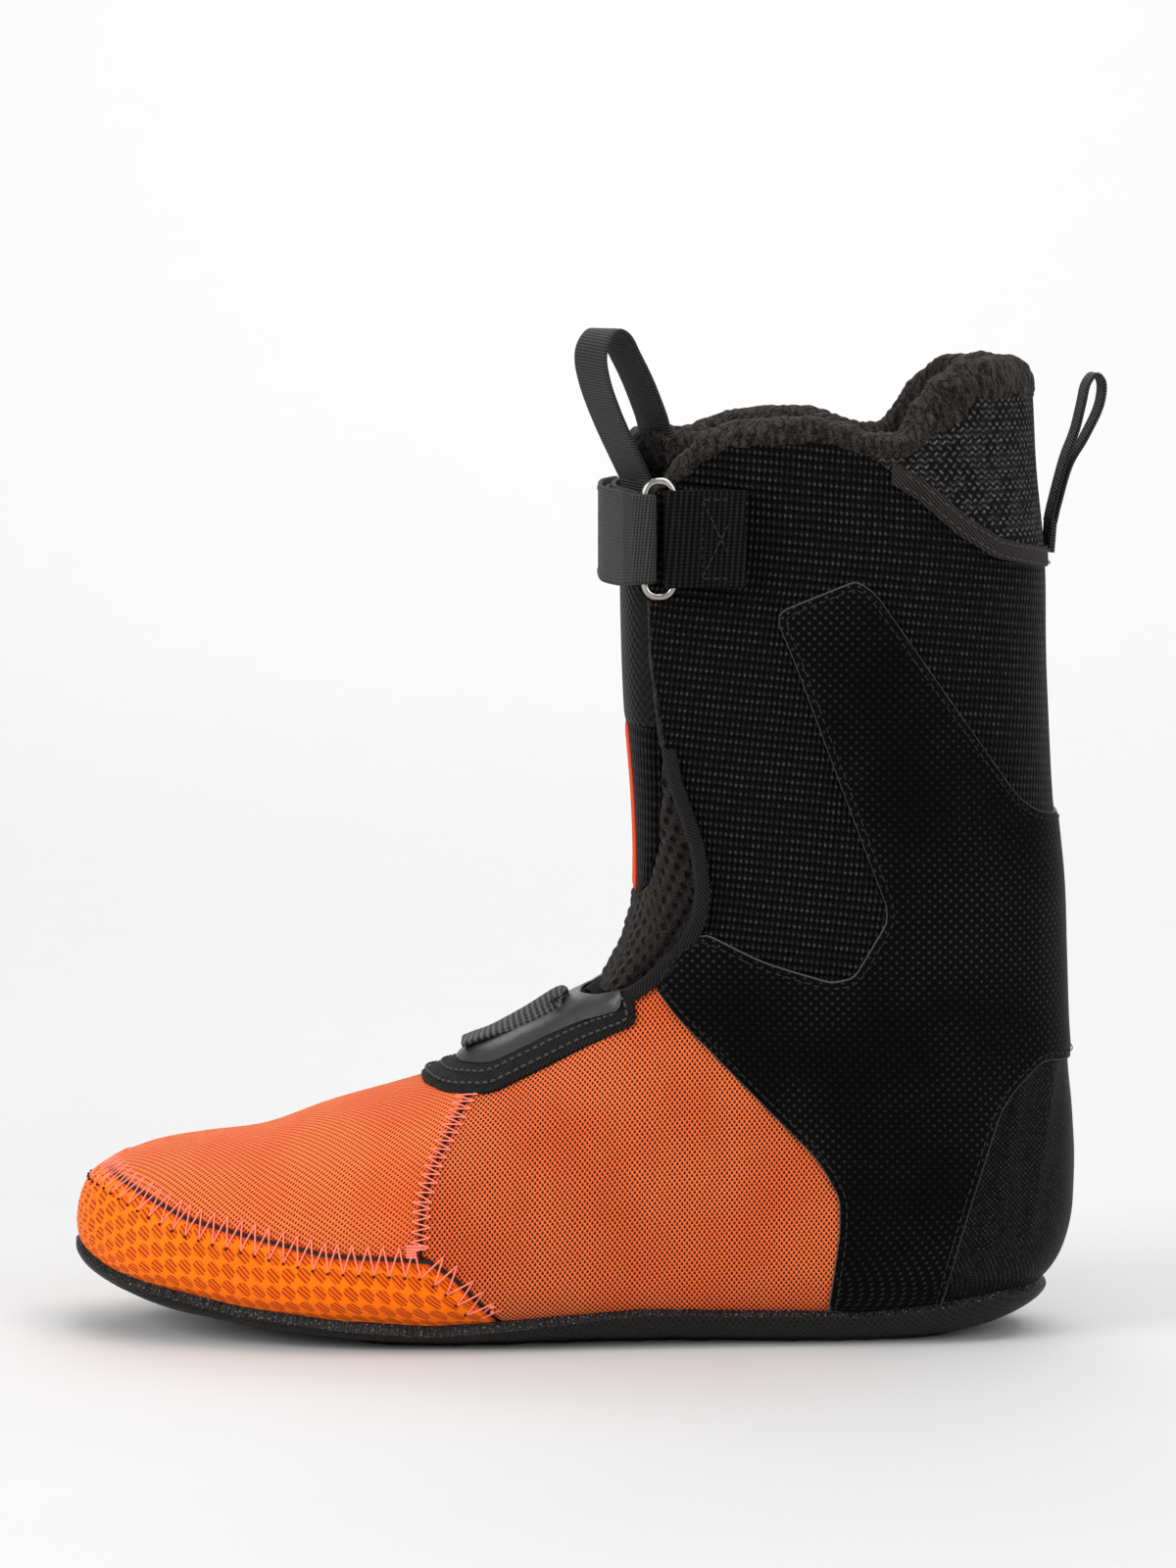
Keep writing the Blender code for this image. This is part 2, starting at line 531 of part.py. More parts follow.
# ---------------------------------------------------------------- foam, lining and stiffeners
def build_core():
    ankle_line = [(-220.0, 99.0), (170.0, 99.0)]
    counter = [(160.0, 70.0), (112.0, 62.0), (98.0, 30.0), (92.0, -30.0), (160.0, -30.0)]
    pads = [(60.0, 62.0), (60.0, 86.0), (82.0, 92.0), (102.0, 84.0), (102.0, 64.0), (82.0, 54.0)]
    foot = upper.under(ankle_line, seam).scored(counter).outside(pads, GAP)
    cuff = upper.over(ankle_line, seam)
    toe = foot.split(lambda p: p.points[:, 0] - TOE_FOAM_END + seam)
    foot = foot.split(lambda p: TOE_FOAM_END + seam - p.points[:, 0])
    heel_step = foot.stepped(counter, foam_out - COUNTER - GAP, foam_out)
    shell("toe_foam", toe, foam_in, foam_out, foam)
    shell("foot_foam", foot, foam_in, heel_step, foam)
    shell("cuff_foam", cuff.under(SPOILER_LINE, GAP), foam_in, foam_out, foam)
    shell("spoiler_foam", cuff.over(SPOILER_LINE, GAP), foam_in, foam_out, foam)
    shell("heel_counter", upper.within(counter), foam_out - COUNTER, foam_out, plastic)
    for name, side in (("lateral", -1), ("medial", 1)):
        shell(f"ankle_pad_{name}", upper.within(pads, -2 * GAP).half(side), foam_in, foam_out, foam)
    shell("lining", upper, lining_in, lining_out, fleece)
    collar = trace(last, (skin_in + lining_in) / 2, lambda p: p.depth_in(BELOW_COLLAR) + COLLAR_RADIUS)
    collar = collar[collar[:, 0] > COLLAR_START]
    tube("collar_roll", evenly(collar, 36), COLLAR_RADIUS, fleece)


def build_foot_bottom():
    rim = last.under(SOLE_TOP)
    down = np.clip(-rim.normals[:, 2], 0, 1) ** 2
    outer = GAP + SOLE_SIDE + (SOLE_BOTTOM - SOLE_SIDE - GAP) * down
    sole = shell("sole", rim, GAP, outer, rubber)
    for vertex in sole.data.vertices:
        if vertex.co.z < FLAT * MM:
            vertex.co.z = 0.0
    floor_of_foot = last.split(lambda p: p.normals[:, 2] + BOARD_SLOPE)
    floor_of_foot = floor_of_foot.split(lambda p: p.points[:, 0] - BOARD_END)
    board_out = lining_in - GAP
    bed_out = board_out - BOARD - GAP
    shell("insole_board", floor_of_foot, board_out - BOARD, board_out, board)
    bed = floor_of_foot.split(lambda p: p.normals[:, 2] + BED_SLOPE)
    bed = bed.split(lambda p: BED_START - p.points[:, 0])
    footbed = shell("footbed", bed, bed_out - FOOTBED, bed_out, foam)
    hang([footbed], FOOTBED_PIVOT)


# ---------------------------------------------------------------- tongue
def build_tongue():
    window = [(-50.0, 127.0), (14.0, 127.0), (17.0, 131.0), (19.5, 142.0), (20.5, 155.0)]
    window += [(20.0, 300.0), (-50.0, 300.0)]
    shield = [(-50.0, 142.0), (19.0, 142.0), (19.0, 232.0), (-50.0, 232.0)]
    top = [(-50.0, TONGUE_TOP), (90.0, TONGUE_TOP)]
    panel_line = [(-50.0, TONGUE_PANEL_LOW), (90.0, TONGUE_PANEL_LOW)]
    body = tongue.under(top)
    front = body.within(window, -seam)
    mesh = front.under(panel_line, seam)
    below = COVER + GAP
    made = [
        shell("tongue_upper_panel", front.over(panel_line, seam), -COVER, 0, black_fabric),
        shell("tongue_side_fleece", body.outside(window, seam), -COVER, 0, fleece),
    ]
    strip = mesh.split(lambda p: p.points[:, 1] - TONGUE_STRIP_HALF)
    strip = strip.split(lambda p: -p.points[:, 1] - TONGUE_STRIP_HALF)
    made.append(shell("tongue_centre_strip", strip, -COVER, 0, orange_mesh))
    for name, side in (("lateral", -1), ("medial", 1)):
        flank = mesh.split(lambda p, s=side: TONGUE_STRIP_HALF + GAP - s * p.points[:, 1])
        made.append(shell(f"tongue_mesh_{name}", flank, -COVER, 0, black_mesh))
    core = body.scored(shield)
    pocket = core.stepped(shield, -below - STIFFENER - GAP, -below)
    deep = -below - TONGUE_FOAM
    made.append(shell("tongue_foam", core, deep, pocket, foam))
    made.append(shell("tongue_stiffener", body.within(shield), -below - STIFFENER, -below, plastic))
    made.append(shell("tongue_lining", body, deep - GAP - TONGUE_LINING, deep - GAP, fleece))
    roll = tongue.at(-TONGUE_ROLL_INSET)[-2 * TONGUE_ROUND:-TONGUE_ROUND]
    height = np.full(len(roll), TONGUE_TOP + TONGUE_ROLL + GAP)
    roll = np.column_stack([roll[:, 0] + 2 * GAP, roll[:, 1], height])
    made.append(tube("tongue_top_roll", roll, TONGUE_ROLL, fleece))
    return made


# ---------------------------------------------------------------- strap, ring and pull loops
def arc(centre, radius, start, stop, count=7):
    """Points of an arc in plan, angles in degrees."""
    angles = np.radians(np.linspace(start, stop, count))
    return [(centre[0] + radius * math.cos(a), centre[1] + radius * math.sin(a)) for a in angles]


def in_plan(path, z):
    return [(x, y, z) for x, y in path]


def beside(path, distance):
    """A plan path moved sideways, to the right of its direction of travel."""
    along = np.gradient(path, axis=0)
    along /= np.linalg.norm(along, axis=1, keepdims=True)
    return path + distance * np.stack([along[:, 1], -along[:, 0]], axis=1)


def between(path, low, high):
    """The part of a plan path with y between two values."""
    return path[(path[:, 1] > low) & (path[:, 1] < high)]


def build_strap():
    side = 47.6
    ring_y = -(side + 3.4)
    front_bar, rear_bar = 15.8, 23.6
    half_tall, corner = 16.0, 2.2
    up = (0, 0, 1)
    # Inner layer: from the medial anchor round the tongue to the ring's front bar.
    wrap = [(44, side + 1.9), (34, side + 1.5), (25, side + 1.0), (19, side + 0.2), (15.0, 45.0)]
    wrap += [(11.4, 37.0), (8.6, 26.0), (7.6, 14.0), (7.35, 0.0), (7.6, -14.0), (8.6, -26.0)]
    wrap += [(11.2, -37.0), (13.2, -44.0), (14.4, -47.0)]
    wrap = evenly(spline(wrap, 120), 160)
    outer = beside(wrap, STRAP_LAYERS)
    fold = arc((front_bar, ring_y), 2.35, 90, -90)
    tail = np.vstack([[(13.0, -52.2), (10.2, -47.2)], between(outer, -40.0, 2.0)[::-1]])
    tail = evenly(tail, 14)
    path = np.vstack([evenly(wrap, 30), fold, tail])
    band("strap_webbing", in_plan(path, STRAP_Z), up, STRAP_HEIGHT, STRAP_THICK, black_webbing)
    pad = evenly(between(beside(wrap, STRAP_LAYERS / 2), -29.0, 29.0), 16)
    hook = band("hook_pad", in_plan(pad, STRAP_Z), up, STRAP_HEIGHT - 3, HOOK_THICK, black_fabric)
    end = evenly(between(outer, 2.6, 40.0), 14)
    tab = band("strap_end_tab", in_plan(end, STRAP_Z), up, STRAP_HEIGHT, STRAP_THICK, black_webbing)
    hang([tab], (end[-1][0], 2.3, STRAP_Z))
    # Ring: a rounded rectangle of wire standing in the side view.
    ring = []
    for x, z, start in ((1, 1, 0), (-1, 1, 90), (-1, -1, 180), (1, -1, 270)):
        middle = (front_bar + rear_bar) / 2, STRAP_Z
        half_wide = (rear_bar - front_bar) / 2
        centre = middle[0] + x * (half_wide - corner), middle[1] + z * (half_tall - corner)
        ring += [(px, ring_y, pz) for px, pz in arc(centre, corner, start, start + 90, 5)]
    wire = tube("strap_ring", ring, RING_WIRE, steel, closed=True, sides=2)
    hang([wire], (rear_bar, ring_y, STRAP_Z))
    # Anchors: webbing folded round the rear bar, and a sewn patch over the medial end.
    path = [(43.6, -side - 1.95), (36, -side - 1.75), (29, -side - 1.55)]
    path += arc((rear_bar, ring_y), 1.95, 90, 270, 9)
    path += [(28, ring_y - 1.45), (33, ring_y - 0.25), (37, -side - 3.35), (43.6, -side - 3.6)]
    band("strap_anchor", in_plan(path, STRAP_Z), up, STRAP_HEIGHT, STRAP_THICK, black_webbing)
    path = [(46, side + 3.6), (36, side + 3.2), (27, side + 2.7)]
    band("strap_anchor_medial", in_plan(path, STRAP_Z), up, STRAP_HEIGHT + 2, 1.2, black_fabric)
    return [hook], tab


def build_loops():
    # Front loop: distance out from its base and height, in the upright plane it faces.
    front = [(0.2, LOOP_PIVOT_Z), (3.7, 250.4), (7.8, 257.6), (11.6, 265.0), (14.5, 272.0), (15.9, 278.3)]
    front += [(14.9, 283.0), (11.5, 286.3), (7.6, 284.8), (4.2, 279.5), (0.3, 273.0), (-2.9, 266.5)]
    front += [(-5.1, 261.4)]
    ahead = np.array([-math.cos(LOOP_TURN), -math.sin(LOOP_TURN)])
    front = [(*(LOOP_BASE + ahead * out), z) for out, z in evenly(spline(front, 100), 26)]
    across = (math.sin(LOOP_TURN), -math.cos(LOOP_TURN), 0)
    loop = band("front_pull_loop", front, across, PULL_WIDTH, STRAP_THICK, black_webbing)
    hang([loop], (*LOOP_BASE, LOOP_PIVOT_Z))
    rear = [(130.4, 231.6), (131.6, 236.2), (134.8, 249.0), (138.2, 257.4), (140.3, 264.9), (141.0, 270.6)]
    rear += [(143.4, 273.6), (146.0, 270.8), (145.6, 263.8), (141.9, 255.0), (137.3, 246.0), (134.0, 236.4)]
    rear += [(132.9, 231.6)]
    rear = [(x, 0.0, z) for x, z in evenly(spline(rear, 90), 26)]
    loop = band("rear_pull_loop", rear, (0, 1, 0), REAR_PULL_WIDTH, REAR_PULL_THICK, black_webbing)
    hang([loop], REAR_PIVOT)
    low = [(-36.0, 81.3), (-28.0, 86.2), (-18.0, 92.2), (-9.4, 98.0), (-5.4, 98.8), (-5.6, 96.6)]
    low = [(x, 0.0, z) for x, z in evenly(spline(low, 40), 14)]
    band("instep_loop", low, (0, 1, 0), INSTEP_WIDTH, STRAP_THICK, black_webbing)


# ---------------------------------------------------------------- run
build_covers()
build_core()
build_foot_bottom()
moving = build_tongue()
pads, tab = build_strap()
build_loops()
hang(moving + pads, TONGUE_HINGE)
for obj in boot.objects:
    obj.location.x += CENTRE[0] * MM
    obj.location.y += CENTRE[1] * MM
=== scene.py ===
"""Looks of the ski boot liner: fine cloth, fleece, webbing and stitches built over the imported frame.

The upper is one lofted surface, the last. Each cloth piece is a patch of it, cut along its seams and
given a thickness. Lengths here are millimetres until a mesh is made.
"""

import json
import math

import bpy
import numpy as np
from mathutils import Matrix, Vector, kdtree, noise


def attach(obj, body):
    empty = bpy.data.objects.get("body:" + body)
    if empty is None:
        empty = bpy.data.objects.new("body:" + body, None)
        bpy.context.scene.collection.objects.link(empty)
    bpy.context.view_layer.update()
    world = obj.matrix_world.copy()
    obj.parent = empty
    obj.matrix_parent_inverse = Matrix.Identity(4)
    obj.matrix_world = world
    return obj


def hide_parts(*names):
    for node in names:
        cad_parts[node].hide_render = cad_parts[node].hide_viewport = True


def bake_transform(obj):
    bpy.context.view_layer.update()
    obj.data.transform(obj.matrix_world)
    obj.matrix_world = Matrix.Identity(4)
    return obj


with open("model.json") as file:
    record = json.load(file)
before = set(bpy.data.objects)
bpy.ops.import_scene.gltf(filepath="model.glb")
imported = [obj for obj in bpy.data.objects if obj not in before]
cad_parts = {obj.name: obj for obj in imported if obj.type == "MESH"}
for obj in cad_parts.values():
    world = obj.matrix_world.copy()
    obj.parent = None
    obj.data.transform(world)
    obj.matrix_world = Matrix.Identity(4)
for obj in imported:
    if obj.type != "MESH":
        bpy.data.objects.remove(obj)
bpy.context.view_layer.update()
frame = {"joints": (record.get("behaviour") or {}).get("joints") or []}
MM = 0.001

# ---------------------------------------------------------------- sizes, mm
COVER = 1.4
OVERLAY = 1.0
FOAM = 7.0
LINING = 1.5
FOOTBED = 3.8
BOARD = 1.2
GAP = 0.3
RAND_GAP = 0.5
SOLE_BOTTOM = 4.8
SOLE_SIDE = 1.5
THIN_WALL = 0.6
COLLAR_RADIUS = 4.6
TAPE = 4.0
FLAT = 1.0  # the sole is pressed flat below this height
TOE_FOAM_END = -20.0
COLLAR_TAPE = 2.7
COLLAR_TAPE_FRONT = 84
ROLL_LOW = 166  # the roll starts above this height, and the flaps' tapes end a little higher
ROLL_THICK = 240, 250  # it grows from thin to thick between these heights
ROLL_SPOILER = 256, 270  # and again up the spoiler
FLAP_TAPE_TOP = 170
FLAP_TAPE_SIDE = 6
EDGE_STEPS = 1100
STRAP_HEIGHT = 27.0
STRAP_THICK = 1.3
STRAP_Z = 229.3
STRAP_LAYERS = 3.9
RIBS_SHOWN = 190
ROUND_SHOWN = 176
TONGUE_ROWS = 170
TONGUE_ROUND = 110
SIDES = (("lateral", -1), ("medial", 1))
NO_EDGE = 9.0  # stands for the distance to the edge where a piece has no cut edge

# Front x and z, back x and z, half width, medial shift, back and front squareness, widest share, wall share.
RIBS = [
    (-147.6, 30.0, -147.6, 30.0, 0.0, 7.0, 2.0, 2.0, 0.45, THIN_WALL),
    (-146.6, 36.5, -146.4, 25.0, 9.0, 7.0, 2.1, 2.1, 0.45, THIN_WALL),
    (-144.4, 41.5, -143.8, 21.5, 16.5, 6.8, 2.3, 2.1, 0.44, THIN_WALL),
    (-140.5, 45.5, -139.5, 18.8, 23.0, 6.4, 2.6, 2.2, 0.42, THIN_WALL),
    (-134.0, 49.0, -132.5, 16.0, 30.0, 5.8, 3.0, 2.2, 0.40, THIN_WALL),
    (-124.0, 52.5, -122.0, 12.8, 36.5, 5.0, 3.3, 2.2, 0.38, THIN_WALL),
    (-110.0, 55.0, -107.0, 9.8, 42.0, 4.0, 3.5, 2.2, 0.36, THIN_WALL),
    (-93.0, 57.3, -89.0, 7.2, 46.5, 2.8, 3.6, 2.2, 0.35, THIN_WALL),
    (-75.0, 63.8, -70.0, 5.6, 49.8, 1.5, 3.7, 2.1, 0.33, THIN_WALL),
    (-58.0, 69.0, -52.0, 4.6, 50.5, 0.6, 3.8, 2.1, 0.31, THIN_WALL),
    (-41.0, 75.0, -33.0, 4.5, 49.5, 0.0, 3.8, 2.1, 0.30, 0.62),
    (-25.0, 82.3, -13.0, 4.8, 47.0, 0.0, 3.9, 2.1, 0.30, 0.66),
    (-10.0, 89.0, 8.0, 5.0, 44.0, 0.0, 4.1, 2.2, 0.32, 0.72),
    (0.0, 97.0, 30.0, 5.0, 41.5, 0.0, 4.4, 2.4, 0.34, 0.78),
    (4.0, 107.0, 56.0, 4.6, 39.8, 0.0, 4.7, 2.7, 0.37, 0.84),
    (4.6, 117.0, 82.0, 4.6, 38.6, 0.0, 4.7, 3.0, 0.40, 0.88),
    (4.4, 127.0, 106.0, 6.0, 38.0, 0.0, 4.2, 3.3, 0.42, 0.92),
    (4.0, 136.5, 124.0, 11.5, 37.8, 0.0, 3.4, 3.5, 0.43, 0.95),
    (4.0, 145.5, 134.0, 20.0, 38.0, 0.0, 2.8, 3.7, 0.44, 0.97),
    (4.0, 154.0, 138.6, 33.0, 38.6, 0.0, 2.5, 3.8, 0.45, 1.0),
    (4.0, 163.0, 139.7, 50.0, 39.3, 0.0, 2.4, 3.9, 0.46, 1.0),
    (4.0, 172.5, 138.4, 69.0, 40.1, 0.0, 2.4, 4.0, 0.47, 1.0),
    (4.0, 182.5, 136.8, 89.0, 41.0, 0.0, 2.4, 4.0, 0.48, 1.0),
    (4.0, 193.0, 135.8, 109.0, 42.2, 0.0, 2.4, 4.0, 0.49, 1.0),
    (4.0, 204.0, 134.9, 130.0, 43.6, 0.0, 2.4, 4.0, 0.50, 1.0),
    (4.0, 215.0, 132.6, 152.0, 45.2, 0.0, 2.4, 4.0, 0.50, 1.0),
    (4.0, 226.5, 131.2, 175.0, 46.6, 0.0, 2.4, 4.0, 0.50, 1.0),
    (4.0, 239.0, 130.2, 199.0, 47.8, 0.0, 2.4, 4.0, 0.50, 1.0),
    (4.0, 252.0, 129.6, 223.0, 48.6, 0.0, 2.4, 4.0, 0.50, 1.0),
    (4.0, 266.0, 127.2, 247.0, 49.0, 0.0, 2.4, 4.0, 0.50, 1.0),
    (5.0, 280.0, 126.0, 268.0, 49.0, 0.0, 2.4, 4.0, 0.50, 1.0),
    (6.0, 294.0, 124.0, 290.0, 49.0, 0.0, 2.4, 4.0, 0.50, 1.0),
]
# Side-view lines, x and z.
FLAP_EDGE = [
    (12.3, 101.5), (18.3, 106.5), (26.0, 115.0), (29.5, 122.0), (30.6, 130.4), (29.1, 142.0),
    (26.0, 151.3), (23.0, 159.8), (20.1, 175.0), (17.6, 195.0), (17.0, 215.0), (17.6, 236.0),
]
COLLAR = [
    (17.6, 247.0), (24.6, 253.5), (30.3, 258.7), (38.5, 261.8), (49.2, 263.3), (59.6, 263.8),
    (70.0, 262.3), (80.4, 258.8), (86.0, 259.0), (93.2, 267.1), (99.6, 274.5), (107.0, 278.9),
    (114.5, 280.0), (119.9, 279.5),
]
SPOILER_LINE = [
    (60.0, 264.0), (84.0, 247.5), (93.0, 242.0), (104.0, 232.3), (114.0, 226.0), (128.0, 222.3),
    (150.0, 220.0),
]
RAND_SEAM = [
    (-170.0, 50.0), (-137.0, 46.5), (-127.0, 42.5), (-113.0, 36.5), (-93.0, 32.2), (-73.0, 28.2),
    (-54.5, 27.5), (-44.8, 27.0), (-37.2, 22.0), (-31.4, 15.5), (-24.7, 8.0), (-24.7, -30.0),
]
VAMP_SEAM = [
    (-47.0, -30.0), (-47.0, 30.0), (-46.5, 43.0), (-43.3, 52.8), (-39.0, 61.6), (-33.6, 71.5), (-20.0, 95.0),
]
SIDE_PANEL_BACK = [(20.0, 150.0), (20.0, 118.0), (45.0, 100.0), (68.0, 72.0), (84.0, 50.0), (84.0, -30.0)]
HEEL_PANEL_FRONT = [(160.0, 96.0), (110.0, 88.0), (103.0, 60.0), (95.0, 35.0), (88.0, -30.0)]
OVERLAY_OUTLINE = [
    (52.2, 207.0), (54.0, 209.5), (74.5, 217.8), (79.8, 213.9), (124.7, 149.5), (160.0, 149.5),
    (160.0, 78.0), (137.0, 79.0), (128.2, 80.6), (119.7, 72.4), (115.9, 66.4), (106.0, 34.7),
    (99.0, 9.0), (97.0, -20.0), (64.0, -20.0), (67.5, 10.0), (70.7, 33.0), (70.7, 43.2), (64.5, 54.0),
    (49.2, 69.4), (24.6, 94.4), (17.6, 104.3), (26.0, 115.0), (33.0, 118.0), (49.2, 110.0),
    (68.3, 104.4), (74.5, 105.9), (83.4, 121.4), (83.4, 126.0), (74.5, 149.2), (57.7, 193.9),
]
PATCH_OUTLINE = [
    (-47.6, 72.0), (-39.5, 70.3), (-27.0, 71.3), (-10.7, 79.0), (2.0, 85.6), (13.7, 91.8),
    (13.0, 99.0), (-4.0, 110.0), (-60.0, 110.0),
]
LEATHER_OUTLINE = [
    (-42.0, 79.0), (-37.0, 76.3), (-27.0, 77.2), (-12.5, 84.2), (1.0, 90.6), (10.6, 95.2),
    (10.8, 101.0), (-4.0, 112.0), (-60.0, 112.0),
]
ANKLE_BUMP = [
    (52.0, 93.0), (62.0, 96.5), (93.0, 82.0), (98.0, 66.0), (88.0, 53.0), (72.0, 60.0), (54.0, 82.0),
]
SOLE_TOP = [
    (-160.0, 27.0), (-147.3, 25.5), (-137.0, 20.0), (-122.5, 16.5), (-98.5, 12.2), (-68.5, 9.3),
    (-45.0, 7.6), (-28.0, 8.7), (-6.0, 10.2), (15.0, 11.8), (47.0, 10.8), (80.0, 10.2), (102.0, 12.4),
    (118.0, 14.8), (133.0, 15.5), (150.0, 15.5),
]
# Tongue: height, front x, half width, length of each side wing.
TONGUE = [
    (99.0, 3.0, 19.0, 11.0), (104.0, 5.5, 21.0, 15.0), (112.0, 9.5, 24.0, 20.0),
    (122.0, 12.2, 26.0, 24.0), (135.0, 13.0, 27.0, 27.0), (155.0, 12.3, 28.0, 28.0),
    (180.0, 10.3, 29.0, 29.0), (205.0, 9.4, 30.0, 30.0), (230.0, 9.2, 30.0, 30.0),
    (247.0, 10.2, 30.0, 28.0), (256.0, 11.2, 29.0, 24.0),
]
TONGUE_HINGE = (3.0, 0.0, 99.0)
LOOP_BASE = (13.8, -25.3)
LOOP_TURN = math.radians(35.0)
LOOP_PIVOT_Z = 244.4
PULL_WIDTH = 15.0
REAR_PULL_WIDTH = 9.0
REAR_PULL_THICK = 1.0
TONGUE_FOAM = 5.6
TONGUE_TOP = 247.0
TONGUE_PANEL_LOW = 175.0
TONGUE_STRIP_HALF = 11.0

hinge = next(joint for joint in frame["joints"] if joint["name"] == "tongue_hinge")
ORIGIN = np.array(hinge["pos_m"]) / MM - TONGUE_HINGE  # from the last's own millimetres to the frame's


# ---------------------------------------------------------------- numbers
def spline(rows, samples):
    """Points on a smooth curve through all the rows."""
    rows = np.array(rows, float)
    ends = np.vstack([2 * rows[0] - rows[1], rows, 2 * rows[-1] - rows[-2]])
    where = np.linspace(0, len(rows) - 1, samples)
    start = np.minimum(where.astype(int), len(rows) - 2)
    t = (where - start)[:, None]
    a, b, c, d = (ends[start + k] for k in range(4))
    return 0.5 * (2 * b + (c - a) * t + (2 * a - 5 * b + 4 * c - d) * t**2 + (3 * b - a - 3 * c + d) * t**3)


def run_of(points):
    """Length along a line of points, from its start to each point."""
    return np.concatenate([[0], np.cumsum(np.linalg.norm(np.diff(points[:, :3], axis=0), axis=1))])


def evenly(points, count):
    """Rows at even distances along a line, whose first columns are the place."""
    run = run_of(points)
    where = np.linspace(0, run[-1], count)
    return np.stack([np.interp(where, run, column) for column in points.T], axis=1)


def unit(vectors):
    """Vectors of length 1, along the last axis."""
    return vectors / np.linalg.norm(vectors, axis=-1, keepdims=True)


def ridge(distance, width):
    """1 at distance 0, falling to about a third at this width."""
    return np.exp(-((distance / width) ** 2))


def height_on(line, x):
    """Height of a side-view line at x."""
    line = np.array(line)
    return np.interp(x, line[:, 0], line[:, 1])


def rounded(outline, steps=6, share=0.3, closed=True):
    """An outline with each corner turned into a short curve."""
    corners = np.array(outline, float)
    made = []
    for k, corner in enumerate(corners):
        if not closed and k in (0, len(corners) - 1):
            made.append(corner)
            continue
        before = corners[k - 1] - corner
        after = corners[(k + 1) % len(corners)] - corner
        reach = min(np.linalg.norm(before), np.linalg.norm(after)) * share
        a = corner + before / np.linalg.norm(before) * reach
        b = corner + after / np.linalg.norm(after) * reach
        for t in np.linspace(0, 1, steps):
            made.append(a * (1 - t) ** 2 + 2 * corner * t * (1 - t) + b * t**2)
    return [tuple(point) for point in made]


def line_distance(line, x, z):
    """Distance of side-view points to an open line."""
    corners = np.array(line, float)
    point = np.stack([x, z], axis=-1)
    nearest = np.full(len(point), 1e9)
    for a, b in zip(corners, corners[1:]):
        along = b - a
        share = np.clip((point - a) @ along / max(along @ along, 1e-9), 0, 1)
        nearest = np.minimum(nearest, np.linalg.norm(point - a - share[:, None] * along, axis=1))
    return nearest


def signed_distance(outline, x, z):
    """Distance of side-view points to a closed outline, below zero inside it."""
    closed = list(outline) + [outline[0]]
    inside = np.zeros(len(x), bool)
    for a, b in zip(closed, closed[1:]):
        if a[1] != b[1]:
            level = (a[1] > z) != (b[1] > z)
            inside ^= level & (x < a[0] + (z - a[1]) * (b[0] - a[0]) / (b[1] - a[1]))
    nearest = line_distance(closed, x, z)
    return np.where(inside, -nearest, nearest)


def smooth(low, high, value):
    """0 at low, 1 at high, smooth between."""
    t = np.clip((value - low) / (high - low), 0, 1)
    return t * t * (3 - 2 * t)


def lumps(points, size, seed=0.0):
    """Smooth noise, about -1 to 1, with lumps of this size."""
    shift = Vector((seed, -seed, seed * 0.7))
    return np.array([noise.noise(Vector(point) / size + shift) for point in points]) * 1.6


# ---------------------------------------------------------------- patches of a surface
PLACE, NORMAL, NORMAL_Z, WALL = slice(0, 3), slice(3, 6), 5, 6
FRONT_RUN, BACK_RUN, LONG_RUN, LEVEL_RUN, GIRTH_RUN = range(7, 12)


